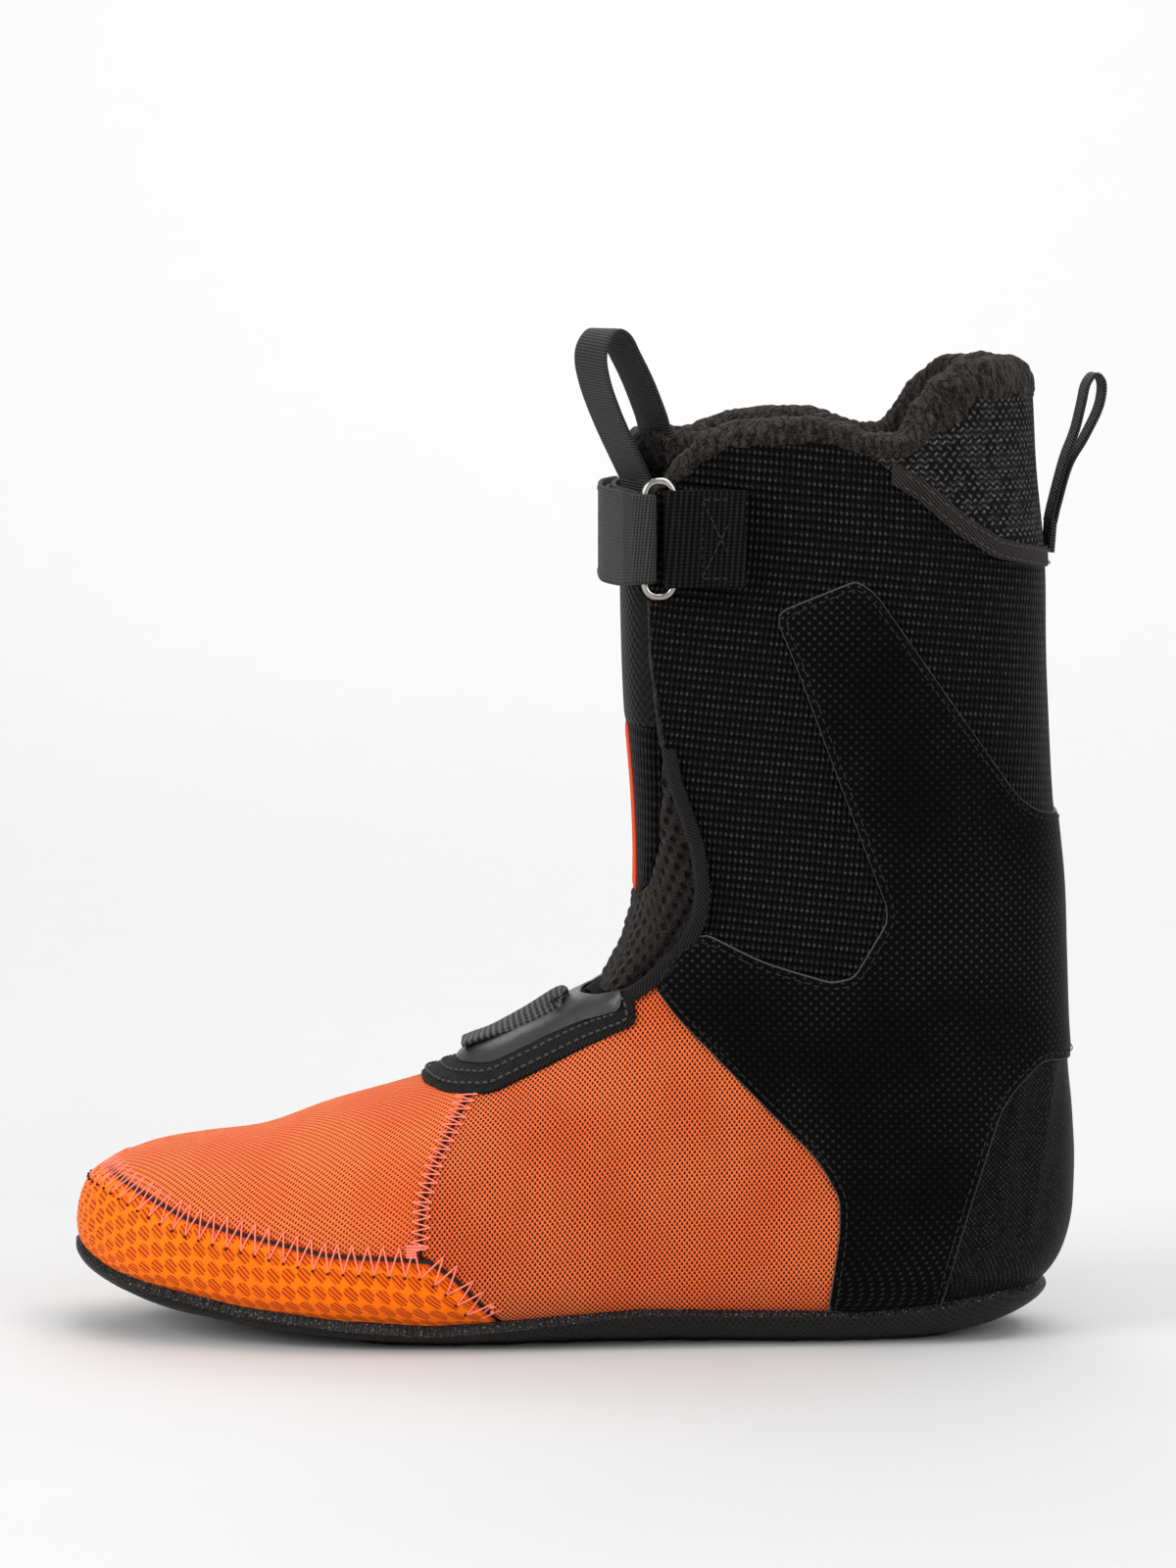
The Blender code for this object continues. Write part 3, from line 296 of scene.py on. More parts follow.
class Patch:
    """Rows of place, normal, wall share and lengths over the surface, and the faces between them."""

    def __init__(self, rows, faces):
        self.rows, self.faces = rows, faces

    x = property(lambda self: self.rows[:, 0])
    y = property(lambda self: self.rows[:, 1])
    z = property(lambda self: self.rows[:, 2])

    def split(self, value):
        """The part where value is below zero, cut clean along the zero line."""
        value = np.where(np.abs(value) < 0.02, -1e-6, value)
        below = value < 0
        crossing, faces, extra = {}, [], []
        for face in self.faces:
            signs = [below[a] for a in face]
            if all(signs):
                faces.append(face)
                continue
            if not any(signs):
                continue
            kept = []
            for a, b in zip(face, face[1:] + face[:1]):
                if below[a]:
                    kept.append(a)
                if below[a] != below[b]:
                    edge = (min(a, b), max(a, b))
                    if edge not in crossing:
                        t = value[edge[0]] / (value[edge[0]] - value[edge[1]])
                        crossing[edge] = len(self.rows) + len(extra)
                        extra.append(self.rows[edge[0]] * (1 - t) + self.rows[edge[1]] * t)
                    kept.append(crossing[edge])
            if len(kept) > 2:
                faces.append(kept)
        rows = np.vstack([self.rows, *extra])
        used = np.unique([corner for face in faces for corner in face])
        new = np.zeros(len(rows), int)
        new[used] = np.arange(len(used))
        return Patch(rows[used], [[int(new[corner]) for corner in face] for face in faces])

    def depth_in(self, outline):
        return signed_distance(outline, self.x, self.z)

    def rise_over(self, line):
        return self.z - height_on(line, self.x)

    def within(self, outline, grow=0.0):
        return self.split(self.depth_in(outline) - grow)

    def outside(self, outline, grow=0.0):
        return self.split(grow - self.depth_in(outline))

    def under(self, line, drop=0.0):
        return self.split(self.rise_over(line) + drop)

    def over(self, line, rise=0.0):
        return self.split(rise - self.rise_over(line))

    def half(self, side, gap=GAP):
        return self.split(gap / 2 - side * self.y)

    def at(self, offset):
        step = np.where(np.broadcast_to(offset, self.x.shape) < 0, offset * self.rows[:, WALL], offset)
        return self.rows[:, PLACE] + self.rows[:, NORMAL] * step[:, None]

    def loops(self):
        """The corner numbers along each open edge of the patch, longest first."""
        edges = {}
        for face in self.faces:
            for a, b in zip(face, face[1:] + face[:1]):
                if edges.pop((b, a), None) is None:
                    edges[(a, b)] = True
        follow = dict(edges.keys())
        loops = []
        while follow:
            start, here = follow.popitem()
            loop = [start]
            while here in follow:
                loop.append(here)
                here = follow.pop(here)
            loops.append(loop)
        return sorted(loops, key=len, reverse=True)

    def rim_distance(self):
        """Distance of each point to the nearest open edge."""
        edge = [corner for loop in self.loops() for corner in loop]
        tree = kdtree.KDTree(len(edge))
        for k, corner in enumerate(edge):
            tree.insert(self.rows[corner, PLACE], k)
        tree.balance()
        return np.array([tree.find(point)[2] for point in self.rows[:, PLACE]])

    def contour(self, value):
        """Lines on the patch where value is zero, as rows, longest first."""
        links, rows = {}, {}
        for face in self.faces:
            hits = []
            for a, b in zip(face, face[1:] + face[:1]):
                if (value[a] < 0) != (value[b] < 0):
                    edge = (min(a, b), max(a, b))
                    t = value[edge[0]] / (value[edge[0]] - value[edge[1]])
                    rows[edge] = self.rows[edge[0]] * (1 - t) + self.rows[edge[1]] * t
                    hits.append(edge)
            for a, b in zip(hits[::2], hits[1::2]):
                links.setdefault(a, []).append(b)
                links.setdefault(b, []).append(a)
        lines = []
        left = set(links)
        while left:
            ends = [edge for edge in left if len(links[edge]) == 1]
            here = min(ends) if ends else min(left)
            line = []
            while here is not None:
                line.append(rows[here])
                left.discard(here)
                here = next((edge for edge in links[here] if edge in left), None)
            lines.append(np.array(line))
        return sorted(lines, key=len, reverse=True)


def section_run(grid, axis):
    """Length along the sections square to an axis, from the middle column to each grid point."""
    planes = np.linspace(grid[:, :, axis].min(), grid[:, :, axis].max(), 160)
    columns = grid.shape[1]
    cuts = np.empty((len(planes), columns, 3))
    for j in range(columns):
        column = grid[grid[:, j, axis].argmin() :, j]
        level = np.maximum.accumulate(column[:, axis]) + np.arange(len(column)) * 1e-6
        for k in range(3):
            cuts[:, j, k] = np.interp(planes, level, column[:, k])
    steps = np.linalg.norm(np.diff(cuts, axis=1), axis=2)
    run = np.hstack([np.zeros((len(planes), 1)), np.cumsum(steps, axis=1)])
    run -= run[:, columns // 2, None]
    return np.stack([np.interp(grid[:, j, axis], planes, run[:, j]) for j in range(columns)], axis=1)


def grid_patch(grid, share, wrap, pole):
    """A patch over a grid of points. wrap closes each row; pole makes row 0 one point."""
    rows, columns = grid.shape[:2]
    across = np.roll(grid, -1, axis=1) - np.roll(grid, 1, axis=1) if wrap else np.gradient(grid, axis=1)
    normals = np.cross(across, np.gradient(grid, axis=0))
    if pole:
        normals[0] = normals[1].mean(axis=0)
    normals = unit(normals)
    steps = np.linalg.norm(np.diff(grid, axis=1), axis=2)
    run = np.hstack([np.zeros((rows, 1)), np.cumsum(steps, axis=1)])
    middle = columns // 2
    if wrap:
        whole = run[:, -1:] + np.linalg.norm(grid[:, :1] - grid[:, -1:], axis=2)
        front_run = np.where(np.arange(columns) <= middle, run, run - whole)
    else:
        front_run = run - run[:, middle : middle + 1]
    back_run = run - run[:, middle : middle + 1]
    level_run = section_run(grid, 2) if wrap else back_run
    girth_run = section_run(grid, 0) if wrap else back_run
    long_steps = np.linalg.norm(np.diff(grid, axis=0), axis=2)
    long_run = np.vstack([np.zeros((1, columns)), np.cumsum(long_steps, axis=0)])
    layers = [grid, normals, share[:, :, None]]
    layers += [layer[:, :, None] for layer in (front_run, back_run, long_run, level_run, girth_run)]
    number = np.arange(rows * columns).reshape(rows, columns)
    if pole:
        number[0] = number[0, 0]
    faces = []
    for i in range(rows - 1):
        for j in range(columns if wrap else columns - 1):
            k = (j + 1) % columns
            a, b = int(number[i, j]), int(number[i, k])
            c, d = int(number[i + 1, k]), int(number[i + 1, j])
            faces.append([a, b, c, d] if a != b else [a, c, d])
    return Patch(np.concatenate(layers, axis=2).reshape(rows * columns, -1), faces)


def rib_section(rib, around):
    """One rib of the last: a closed curve from the front line round the lateral side and back."""
    front_x, front_z, back_x, back_z, half, shift, back_n, front_n, widest, _ = rib
    angle = np.linspace(0, math.pi, 721)
    c, s = np.cos(angle), np.clip(np.sin(angle), 0, 1)
    power = 2 / np.where(c > 0, front_n, back_n)
    reach = np.abs(c) ** power
    share = np.where(c > 0, widest + (1 - widest) * reach, widest * (1 - reach))
    side = half * s**power
    x = back_x + (front_x - back_x) * share
    z = back_z + (front_z - back_z) * share
    lateral = evenly(np.stack([x, -side, z], axis=1), around // 2 + 1)
    medial = lateral[-2:0:-1] * (1, -1, 1)
    return np.vstack([lateral, medial]) + (0, shift, 0)


def last_patch(ribs, around):
    """The outer surface of the upper."""
    rows = spline(RIBS, ribs)
    rows[0] = RIBS[0]
    grid = np.array([rib_section(row, around) for row in rows])
    front = np.abs(np.arange(around) / around - 0.5) * 2
    thin_front = 1 - 0.35 * np.clip((front - 0.55) / 0.3, 0, 1)
    share = np.maximum(np.outer(rows[:, -1], thin_front), THIN_WALL * 0.95)
    return grid_patch(grid, share, wrap=True, pole=True)


def tongue_patch(levels, across):
    """The outer surface of the tongue: a U in plan, whose wings run straight back."""
    grid = []
    for z, front, half, wing in spline(TONGUE, levels):
        depth = min(15.0, wing * 0.6)
        squareness = 2.6
        angle = np.linspace(0, math.pi / 2, 60)
        corner_x = front + depth * (1 - np.cos(angle) ** (2 / squareness))
        corner_y = half * np.sin(angle) ** (2 / squareness)
        side = np.stack([np.append(corner_x, front + wing), np.append(corner_y, half)], axis=1)
        outline = evenly(np.vstack([side[::-1], side[1:] * (1, -1)]), across)
        grid.append(np.column_stack([outline, np.full(across, z)]))
    position = np.abs(np.linspace(-1, 1, across))
    share = np.tile(1 - 0.4 * np.clip((position - 0.5) / 0.5, 0, 1), (levels, 1))
    return grid_patch(np.array(grid), share, wrap=False, pole=False)


# ---------------------------------------------------------------- looks
def grey(value):
    return (value, value, value)


class Value:
    """What a node gives out; + and * on it add math nodes."""

    def __init__(self, look, socket):
        self.look, self.socket = look, socket

    def __add__(self, other):
        return self.look.math("ADD", self, other)

    def __mul__(self, other):
        return self.look.math("MULTIPLY", self, other)


class Look:
    """A node-based material, written as arithmetic on values."""

    def __init__(self, name):
        self.material = bpy.data.materials.new(name)
        self.material.use_nodes = True
        self.tree = self.material.node_tree
        self.shader = self.tree.nodes["Principled BSDF"]

    def feed(self, socket, value):
        if isinstance(value, Value):
            self.tree.links.new(value.socket, socket)
        elif isinstance(value, tuple) and len(socket.default_value) == 4:
            socket.default_value = (*value, 1.0)
        else:
            socket.default_value = value

    def math(self, operation, *values, clamp=False):
        node = self.tree.nodes.new("ShaderNodeMath")
        node.operation = operation
        node.use_clamp = clamp
        for socket, value in zip(node.inputs, values):
            self.feed(socket, value)
        return Value(self, node.outputs[0])

    def wave(self, value, pitch, phase=0.0):
        """A cosine of this pitch, -1 to 1."""
        return self.math("COSINE", self.math("MULTIPLY_ADD", value, 2 * math.pi / pitch, phase))

    def step(self, value, low, high):
        """0 below low, 1 above high, smooth between."""
        node = self.tree.nodes.new("ShaderNodeMapRange")
        node.interpolation_type = "SMOOTHSTEP"
        self.feed(node.inputs["Value"], value)
        node.inputs["From Min"].default_value = low
        node.inputs["From Max"].default_value = high
        return Value(self, node.outputs["Result"])

    def mix(self, share, a, b):
        node = self.tree.nodes.new("ShaderNodeMix")
        node.data_type = "RGBA"
        self.feed(node.inputs[0], share)
        self.feed(node.inputs[6], a)
        self.feed(node.inputs[7], b)
        return Value(self, node.outputs[2])

    def chart(self):
        """Lengths across and along the cloth, in mm."""
        uv = self.tree.nodes.new("ShaderNodeUVMap")
        uv.uv_map = "weave"
        parts = self.tree.nodes.new("ShaderNodeSeparateXYZ")
        self.tree.links.new(uv.outputs[0], parts.inputs[0])
        return Value(self, parts.outputs[0]), Value(self, parts.outputs[1])

    def rim(self):
        """Distance to the piece's own edge, in mm."""
        node = self.tree.nodes.new("ShaderNodeAttribute")
        node.attribute_name = "rim"
        return Value(self, node.outputs["Fac"])

    def noise(self, size, detail=2.0, rough=0.5, stretch=(1, 1, 1)):
        """Noise of this lump size in mm, 0 to 1."""
        place = self.tree.nodes.new("ShaderNodeTexCoord")
        scale = self.tree.nodes.new("ShaderNodeVectorMath")
        scale.operation = "MULTIPLY"
        scale.inputs[1].default_value = stretch
        self.tree.links.new(place.outputs["Object"], scale.inputs[0])
        node = self.tree.nodes.new("ShaderNodeTexNoise")
        self.tree.links.new(scale.outputs[0], node.inputs["Vector"])
        node.inputs["Scale"].default_value = 1000 / size
        node.inputs["Detail"].default_value = detail
        node.inputs["Roughness"].default_value = rough
        return Value(self, node.outputs["Fac"])

    def done(self, colour, roughness, height=None, relief=0.3, sheen=0.0, metallic=0.0, specular=0.12):
        """Connect colour, roughness and a height whose full range is relief in mm."""
        self.feed(self.shader.inputs["Base Color"], colour)
        self.feed(self.shader.inputs["Roughness"], roughness)
        self.shader.inputs["Metallic"].default_value = metallic
        self.shader.inputs["Specular IOR Level"].default_value = specular
        self.shader.inputs["Sheen Weight"].default_value = sheen
        self.shader.inputs["Sheen Roughness"].default_value = 0.4
        if height is not None:
            bump = self.tree.nodes.new("ShaderNodeBump")
            bump.inputs["Distance"].default_value = relief * MM
            self.feed(bump.inputs["Height"], height)
            self.tree.links.new(bump.outputs[0], self.shader.inputs["Normal"])
        return self.material


def orange_mesh(name, across, up, colour, hole, wear_and_seam_shade, open_share):
    """Knitted mesh with staggered pin-holes, and painted shade along its edge."""
    look = Look(name)
    u, v = look.chart()
    wobble = look.noise(5.0) * 0.25
    grid = look.wave(u + wobble, across) * look.wave(v + wobble, up)
    pins = look.step(grid, open_share, open_share + 0.4)
    shade = look.mix(look.step(look.noise(30.0, 3.0), 0.35, 0.75), colour, wear_and_seam_shade)
    yarn = look.step(look.noise(1.4, 2.0), 0.3, 0.7)
    shade = look.mix(yarn * 0.2, shade, wear_and_seam_shade)
    # Painted shade: near the piece's edge the colour turns to the hole colour, standing in for the seam's
    # shade.
    edge = look.step(look.rim(), 0.1, 1.2)
    shade = look.mix(edge, hole, shade)
    shade = look.mix(pins, shade, hole)
    height = grid * -0.6
    return look.done(shade, 0.75, height, 0.45, sheen=0.06)


def rand_cloth():
    """Coated cloth with rows of leaf shapes, each scored with slanted lines, and painted shade along its
    edge.
    """
    look = Look("rand_cloth")
    u, v = look.chart()
    pitch = 4.85
    columns = look.wave(u + v * -0.33, pitch)
    rows = look.wave(v, 4.5)
    slanted = look.wave(u + v * -1.41, pitch)
    leaf = look.step(columns + rows + slanted * 0.6, -0.7, -0.1)
    hatch = look.wave(u * 0.62 + v * -0.79, 0.95)
    line = look.step(hatch, -0.2, 0.8) * leaf
    shade = look.mix(look.noise(18.0), (1.0, 0.155, 0.0), (1.0, 0.20, 0.001))
    shade = look.mix(leaf * 0.5, shade, (0.90, 0.10, 0.0))
    shade = look.mix(line * 0.9, shade, (0.33, 0.028, 0.001))
    # Painted shade: darker within 1.4 mm of the rand's edge, standing in for the seam's shade.
    wear_and_seam_shade = look.step(look.rim(), 0.0, 1.4)
    shade = look.mix(wear_and_seam_shade, (0.62, 0.06, 0.004), shade)
    height = leaf * -0.4 + line * -0.6
    return look.done(shade, 0.6, height, 0.4, sheen=0.03)


def spacer_mesh(name, across, up, gleam, relief):
    """Knitted three-dimensional mesh: rows of raised loops, each with a painted highlight at one end."""
    look = Look(name)
    u, v = look.chart()
    drift = look.noise(9.0) * 0.5
    row = look.wave(v + u * 0.1 + drift, up)
    column = look.wave(u + v * -0.12 + drift, across)
    loops = row * 0.5 + column * 0.5
    body = look.step(loops, -0.2, 0.5)
    tip = look.step(loops, 0.35, 0.95)
    sparkle = look.step(look.noise(2.2, 1.0), 0.35, 0.7)
    shade = look.mix(body, grey(0.0006), (0.0115, 0.0115, 0.0112))
    # Painted highlight: the gleam colour on the loops' tips, here and there.
    shade = look.mix(tip * sparkle, shade, gleam)
    return look.done(shade, 0.5, loops, relief, specular=0.06)


def open_mesh():
    """Coarse open mesh: rows of wavy yarn with holes between them."""
    look = Look("open_mesh")
    u, v = look.chart()
    swing = v + look.wave(u, 2.7) * 0.38
    rows = look.step(look.wave(swing, 1.65), -0.7, 0.3)
    holes = look.step(look.wave(u, 2.8) * look.wave(v, 3.3), -0.35, 0.1)
    big = look.step(look.noise(5.0, 0.0), 0.42, 0.55)
    yarn = look.step(look.noise(0.7, 2.0), 0.35, 0.65)
    shade = look.mix(yarn, (0.014, 0.0135, 0.0128), (0.115, 0.11, 0.104))
    shade = look.mix(rows, (0.008, 0.008, 0.0075), shade)
    open_share = holes * (big * 0.4 + 0.6)
    shade = look.mix(open_share, shade, grey(0.0008))
    return look.done(shade, 0.7, rows + holes * -0.8, 0.7, specular=0.1)


def film():
    """Moulded film with staggered dots, partly painted highlight, and lighter at its cut edge."""
    look = Look("film")
    u, v = look.chart()
    dots = look.step(look.wave(u, 3.0) * look.wave(v, 2.9), 0.4, 0.9)
    cloud = look.step(look.noise(34.0, 4.0), 0.35, 0.7)
    grain = look.noise(0.35, 2.0)
    shade = look.mix(cloud, (0.0006, 0.0006, 0.0005), (0.0018, 0.0018, 0.0017))
    # The dots' lighter colour is partly their own tone and partly a painted highlight.
    bright = look.mix(cloud, (0.0055, 0.0055, 0.0052), (0.030, 0.030, 0.029))
    shade = look.mix(dots, shade, bright)
    edge = look.step(look.rim(), 0.1, 0.45)
    shade = look.mix(edge, (0.06, 0.058, 0.055), shade)
    height = dots * 0.8 + grain * 0.16
    return look.done(shade, 0.5, height, 0.2, specular=0.04)


def tight_weave(name, pitch, colour, light):
    """Tight plain weave whose raised threads carry painted highlights."""
    look = Look(name)
    u, v = look.chart()
    weave = look.wave(u, pitch) * look.wave(v, pitch)
    threads = look.step(weave, 0.0, 0.8)
    fleck = look.step(look.noise(1.1, 2.0), 0.35, 0.65)
    # Painted highlight: the light colour on raised threads, here and there.
    shade = look.mix(threads * fleck, colour, light)
    return look.done(shade, 0.5, weave, 0.28, specular=0.1)


def tape(name, colour, light):
    """Twill tape: diagonal ribs."""
    look = Look(name)
    u, v = look.chart()
    ribs = look.wave(u + v * 0.8, 1.1)
    shade = look.mix(look.step(ribs, -0.4, 0.8) * look.noise(2.0, 2.0), colour, light)
    return look.done(shade, 0.75, ribs, 0.28, sheen=0.05)


def webbing(name, rib, warp_pitch, low, high, specular=0.2):
    """Ribbed woven webbing: ribs across its length, crossed by warp lines."""
    look = Look(name)
    u, v = look.chart()
    ribs = look.wave(u + v * 0.08, rib)
    warp = look.wave(v, warp_pitch, 1.2)
    cloth = ribs * 0.6 + warp * 0.35
    fuzz = look.noise(0.6, 2.0)
    shade = look.mix(look.step(cloth, -0.5, 0.9), low, high)
    height = cloth + fuzz * 0.3
    return look.done(shade, 0.6, height, 0.3, sheen=0.02, specular=specular)


def leather():
    look = Look("faux_leather")
    grain = look.noise(0.9, 4.0, 0.6)
    folds = look.noise(7.0, 2.0)
    shade = look.mix(folds, (0.013, 0.0126, 0.0118), (0.029, 0.0281, 0.0265))
    gloss = look.math("MULTIPLY_ADD", grain, 0.2, 0.26)
    return look.done(shade, gloss, grain * 0.5 + folds, 0.25, specular=0.5)


def fleece():
    """Short curly pile, furrowed across the piece where the stitches pull it in; lumps and furrows painted
    light and shade.
    """
    look = Look("fleece")
    u, v = look.chart()
    curls = look.noise(0.5, 3.0, 0.65)
    drift = look.noise(6.0, 3.0) * 9.0
    furrow = look.step(look.wave(u + v * 0.6 + drift, 2.6), 0.35, 1.0)
    streaks = look.noise(1.6, 3.0, 0.6, stretch=(1.0, 1.0, 0.35))
    pile = curls * 0.5 + streaks * 0.5
    # Partly painted highlight and shade: lighter on the pile's lumps, darker between them, besides the
    # fibres' own tone.
    shade = look.mix(look.step(pile, 0.36, 0.68), (0.0050, 0.0043, 0.0040), (0.058, 0.050, 0.046))
    # Painted shade: darker in the furrows.
    shade = look.mix(furrow * 0.7, shade, (0.005, 0.0044, 0.0041))
    height = pile + furrow * -0.5
    return look.done(shade, 0.95, height, 0.8, sheen=0.1, specular=0.03)


def waffle_fleece():
    """The same pile with staggered rows of pits, painted dark as shade."""
    look = Look("waffle_fleece")
    u, v = look.chart()
    curls = look.noise(0.5, 3.0, 0.65)
    drift = look.noise(4.0, 2.0) * 1.8
    first = look.wave(u + v * 0.35 + drift, 4.6)
    second = look.wave(v + u * -0.3 + drift, 5.4)
    pits = look.step(first * second + curls * 0.7, 0.35, 1.2)
    shade = look.mix(look.step(curls, 0.3, 0.7), (0.0125, 0.0108, 0.0101), (0.046, 0.0405, 0.0378))
    # Painted shade: darker in the pits.
    shade = look.mix(pits * 0.8, shade, (0.0065, 0.0058, 0.0054))
    height = curls + pits * -1.2
    return look.done(shade, 0.95, height, 0.8, sheen=0.1, specular=0.03)


def foam():
    look = Look("foam")
    cells = look.noise(0.8, 3.0)
    shade = look.mix(cells, grey(0.03), grey(0.07))
    return look.done(shade, 0.9, cells, 0.3)


def fibre_board():
    look = Look("fibre_board")
    fibres = look.noise(2.0, 4.0, 0.7, stretch=(0.2, 1, 1))
    shade = look.mix(fibres, (0.32, 0.28, 0.22), (0.5, 0.46, 0.38))
    return look.done(shade, 0.85, fibres, 0.2)


def moulded():
    look = Look("moulded_sheet")
    grain = look.noise(0.7, 2.0)
    shade = look.mix(look.noise(12.0), grey(0.03), grey(0.05))
    return look.done(shade, 0.45, grain, 0.1)


def sole_rubber():
    """Thin rubber with a diagonal twill, scuffed, and pale fibres along its trimmed edge."""
    look = Look("sole_rubber")
    u, v = look.chart()
    first = look.wave(u + v, 1.9)
    second = look.wave(u + v * -1.0, 1.9)
    twill = look.math("MAXIMUM", first, second)
    scuff = look.step(look.noise(3.0, 5.0, 0.7), 0.55, 0.8)
    shade = look.mix(look.step(twill, 0.0, 1.0), grey(0.006), (0.0135, 0.0133, 0.0132))
    shade = look.mix(scuff * 0.3, shade, (0.055, 0.053, 0.05))
    near = look.math("SUBTRACT", 1.0, look.step(look.rim(), 0.0, 0.3))
    flecks = look.step(look.noise(0.6, 3.0, 0.7), 0.58, 0.66)
    shade = look.mix(near * flecks, shade, (0.20, 0.19, 0.18))
    return look.done(shade, 0.45, twill + scuff * 0.4, 0.16, specular=0.15)


def thread(name, colour, light):
    look = Look(name)
    twist = look.noise(0.5, 1.0)
    return look.done(look.mix(twist, colour, light), 0.55, twist, 0.1)


def steel():
    look = Look("ring_steel")
    marks = look.noise(1.5, 3.0, 0.6, stretch=(1, 1, 0.2))
    shade = look.mix(marks, (0.26, 0.25, 0.24), (0.50, 0.49, 0.47))
    rough = look.math("MULTIPLY_ADD", marks, 0.16, 0.12)
    return look.done(shade, rough, marks, 0.04, metallic=1.0)


# ---------------------------------------------------------------- pieces
def place(name, mesh, looks, body, instead, slot):
    """Link a mesh as a piece that rides on a body, unless body is None, and stands for CAD nodes."""
    obj = bpy.data.objects.new(f"{name}_fine", mesh)
    bpy.context.scene.collection.objects.link(obj)
    for look in looks:
        mesh.materials.append(look)
    mesh.shade_smooth()
    mesh.set_sharp_from_angle(angle=math.radians(55))
    if body:
        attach(obj, body)
    if instead:
        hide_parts(*instead)
    return obj


def to_mesh(name, points, faces, charts=None, rims=None, kinds=None):
    """A mesh in metres in the frame, with the weave chart and the distance to the rim."""
    mesh = bpy.data.meshes.new(name)
    mesh.from_pydata(((np.asarray(points) + ORIGIN) * MM).tolist(), [], faces)
    if charts is not None:
        corners = np.empty(len(mesh.loops), int)
        mesh.loops.foreach_get("vertex_index", corners)
        layer = mesh.uv_layers.new(name="weave")
        layer.data.foreach_set("uv", np.asarray(charts)[corners].astype(np.float32).ravel())
    if rims is not None:
        layer = mesh.attributes.new("rim", "FLOAT", "POINT")
        layer.data.foreach_set("value", np.asarray(rims, np.float32))
    if kinds is not None:
        mesh.polygons.foreach_set("material_index", np.asarray(kinds, np.int32))
    return mesh


# The two columns of a patch that a weave is laid out on: across and along.
CHARTS = {
    "toe": (FRONT_RUN, LONG_RUN),
    "foot": (0, GIRTH_RUN),
    "leg": (LEVEL_RUN, 2),
    "under": (0, BACK_RUN),
}


def cloth(
    name, patch, inner, outer, looks, slot, body="shell", chart="foot", soft=0.5, reach=1.2, relief=None
):
    """A sheet between two offsets of the surface, its outer edge rolled down by soft over reach.

    relief gives how far each point of the patch is pushed out.
    """
    rim = patch.rim_distance()
    rolled = outer - soft * ridge(rim, reach)
    lift = 0 if relief is None else relief(patch)
    count = len(patch.rows)
    extra = patch.rows[:, NORMAL] * np.broadcast_to(lift, count)[:, None]
    points = np.vstack([patch.at(inner) + extra, patch.at(rolled) + extra])
    inside = [face[::-1] for face in patch.faces]
    outside = [[corner + count for corner in face] for face in patch.faces]
    walls = []
    for loop in patch.loops():
        walls += [[b, a, a + count, b + count] for a, b in zip(loop, loop[1:] + loop[:1])]
    faces = inside + outside + walls
    kinds = [0] * (len(inside) + len(outside)) + [len(looks) - 1] * len(walls)
    charts = np.tile(patch.rows[:, CHARTS[chart]], (2, 1))
    mesh = to_mesh(name, points, faces, charts, np.tile(rim, 2), kinds)
    return place(name, mesh, looks, body, [name], slot)


def foam_piece(name, patch, inner, outer, looks, **how):
    cloth(name, patch, inner, outer, [looks["foam"]], "foam", **how)


def frames(rows):
    """Tangent, normal and the direction across, at each row of a line on a surface."""
    along = unit(np.gradient(rows[:, PLACE], axis=0))
    normal = unit(rows[:, NORMAL])
    return along, normal, unit(np.cross(along, normal))


def sweep(points, first, second, sections, closed=False):
    """Rings of a section along a line: sections[k] holds (first, second) steps at point k."""
    rings = points[:, None] + first[:, None] * sections[:, :, :1] + second[:, None] * sections[:, :, 1:]
    count, around = rings.shape[:2]
    faces = []
    for k in range(count if closed else count - 1):
        for j in range(around):
            a, b = k * around + j, k * around + (j + 1) % around
            c, d = ((k + 1) % count) * around + j, ((k + 1) % count) * around + (j + 1) % around
            faces.append([a, b, d, c])
    if not closed:
        faces.append(list(range(around))[::-1])
        faces.append([(count - 1) * around + j for j in range(around)])
    run = run_of(points)
    edge = np.linalg.norm(np.diff(np.vstack([sections[0], sections[0][:1]]), axis=0), axis=1)
    round_run = np.concatenate([[0], np.cumsum(edge)])[:around]
    charts = np.stack([np.repeat(run, around), np.tile(round_run, count)], axis=1)
    return rings.reshape(-1, 3), faces, charts


def ellipse(half_first, half_second, around):
    angle = np.linspace(0, 2 * math.pi, around, endpoint=False)
    return np.stack([half_first * np.cos(angle), half_second * np.sin(angle)], axis=1)


def flat_section(width, thick):
    """Outline of a webbing: flat faces, rounded selvedges."""
    half, deep = width / 2, thick / 2
    steps = 16
    side = np.linspace(-half + deep, half - deep, steps)
    turn = np.linspace(-math.pi / 2, math.pi / 2, 7)[1:-1]
    top = np.stack([side[::-1], np.full(steps, deep)], axis=1)
    bottom = np.stack([side, np.full(steps, -deep)], axis=1)
    right = np.stack([half - deep + deep * np.cos(turn), deep * np.sin(turn)], axis=1)
    return np.vstack([bottom, right, top, -right])


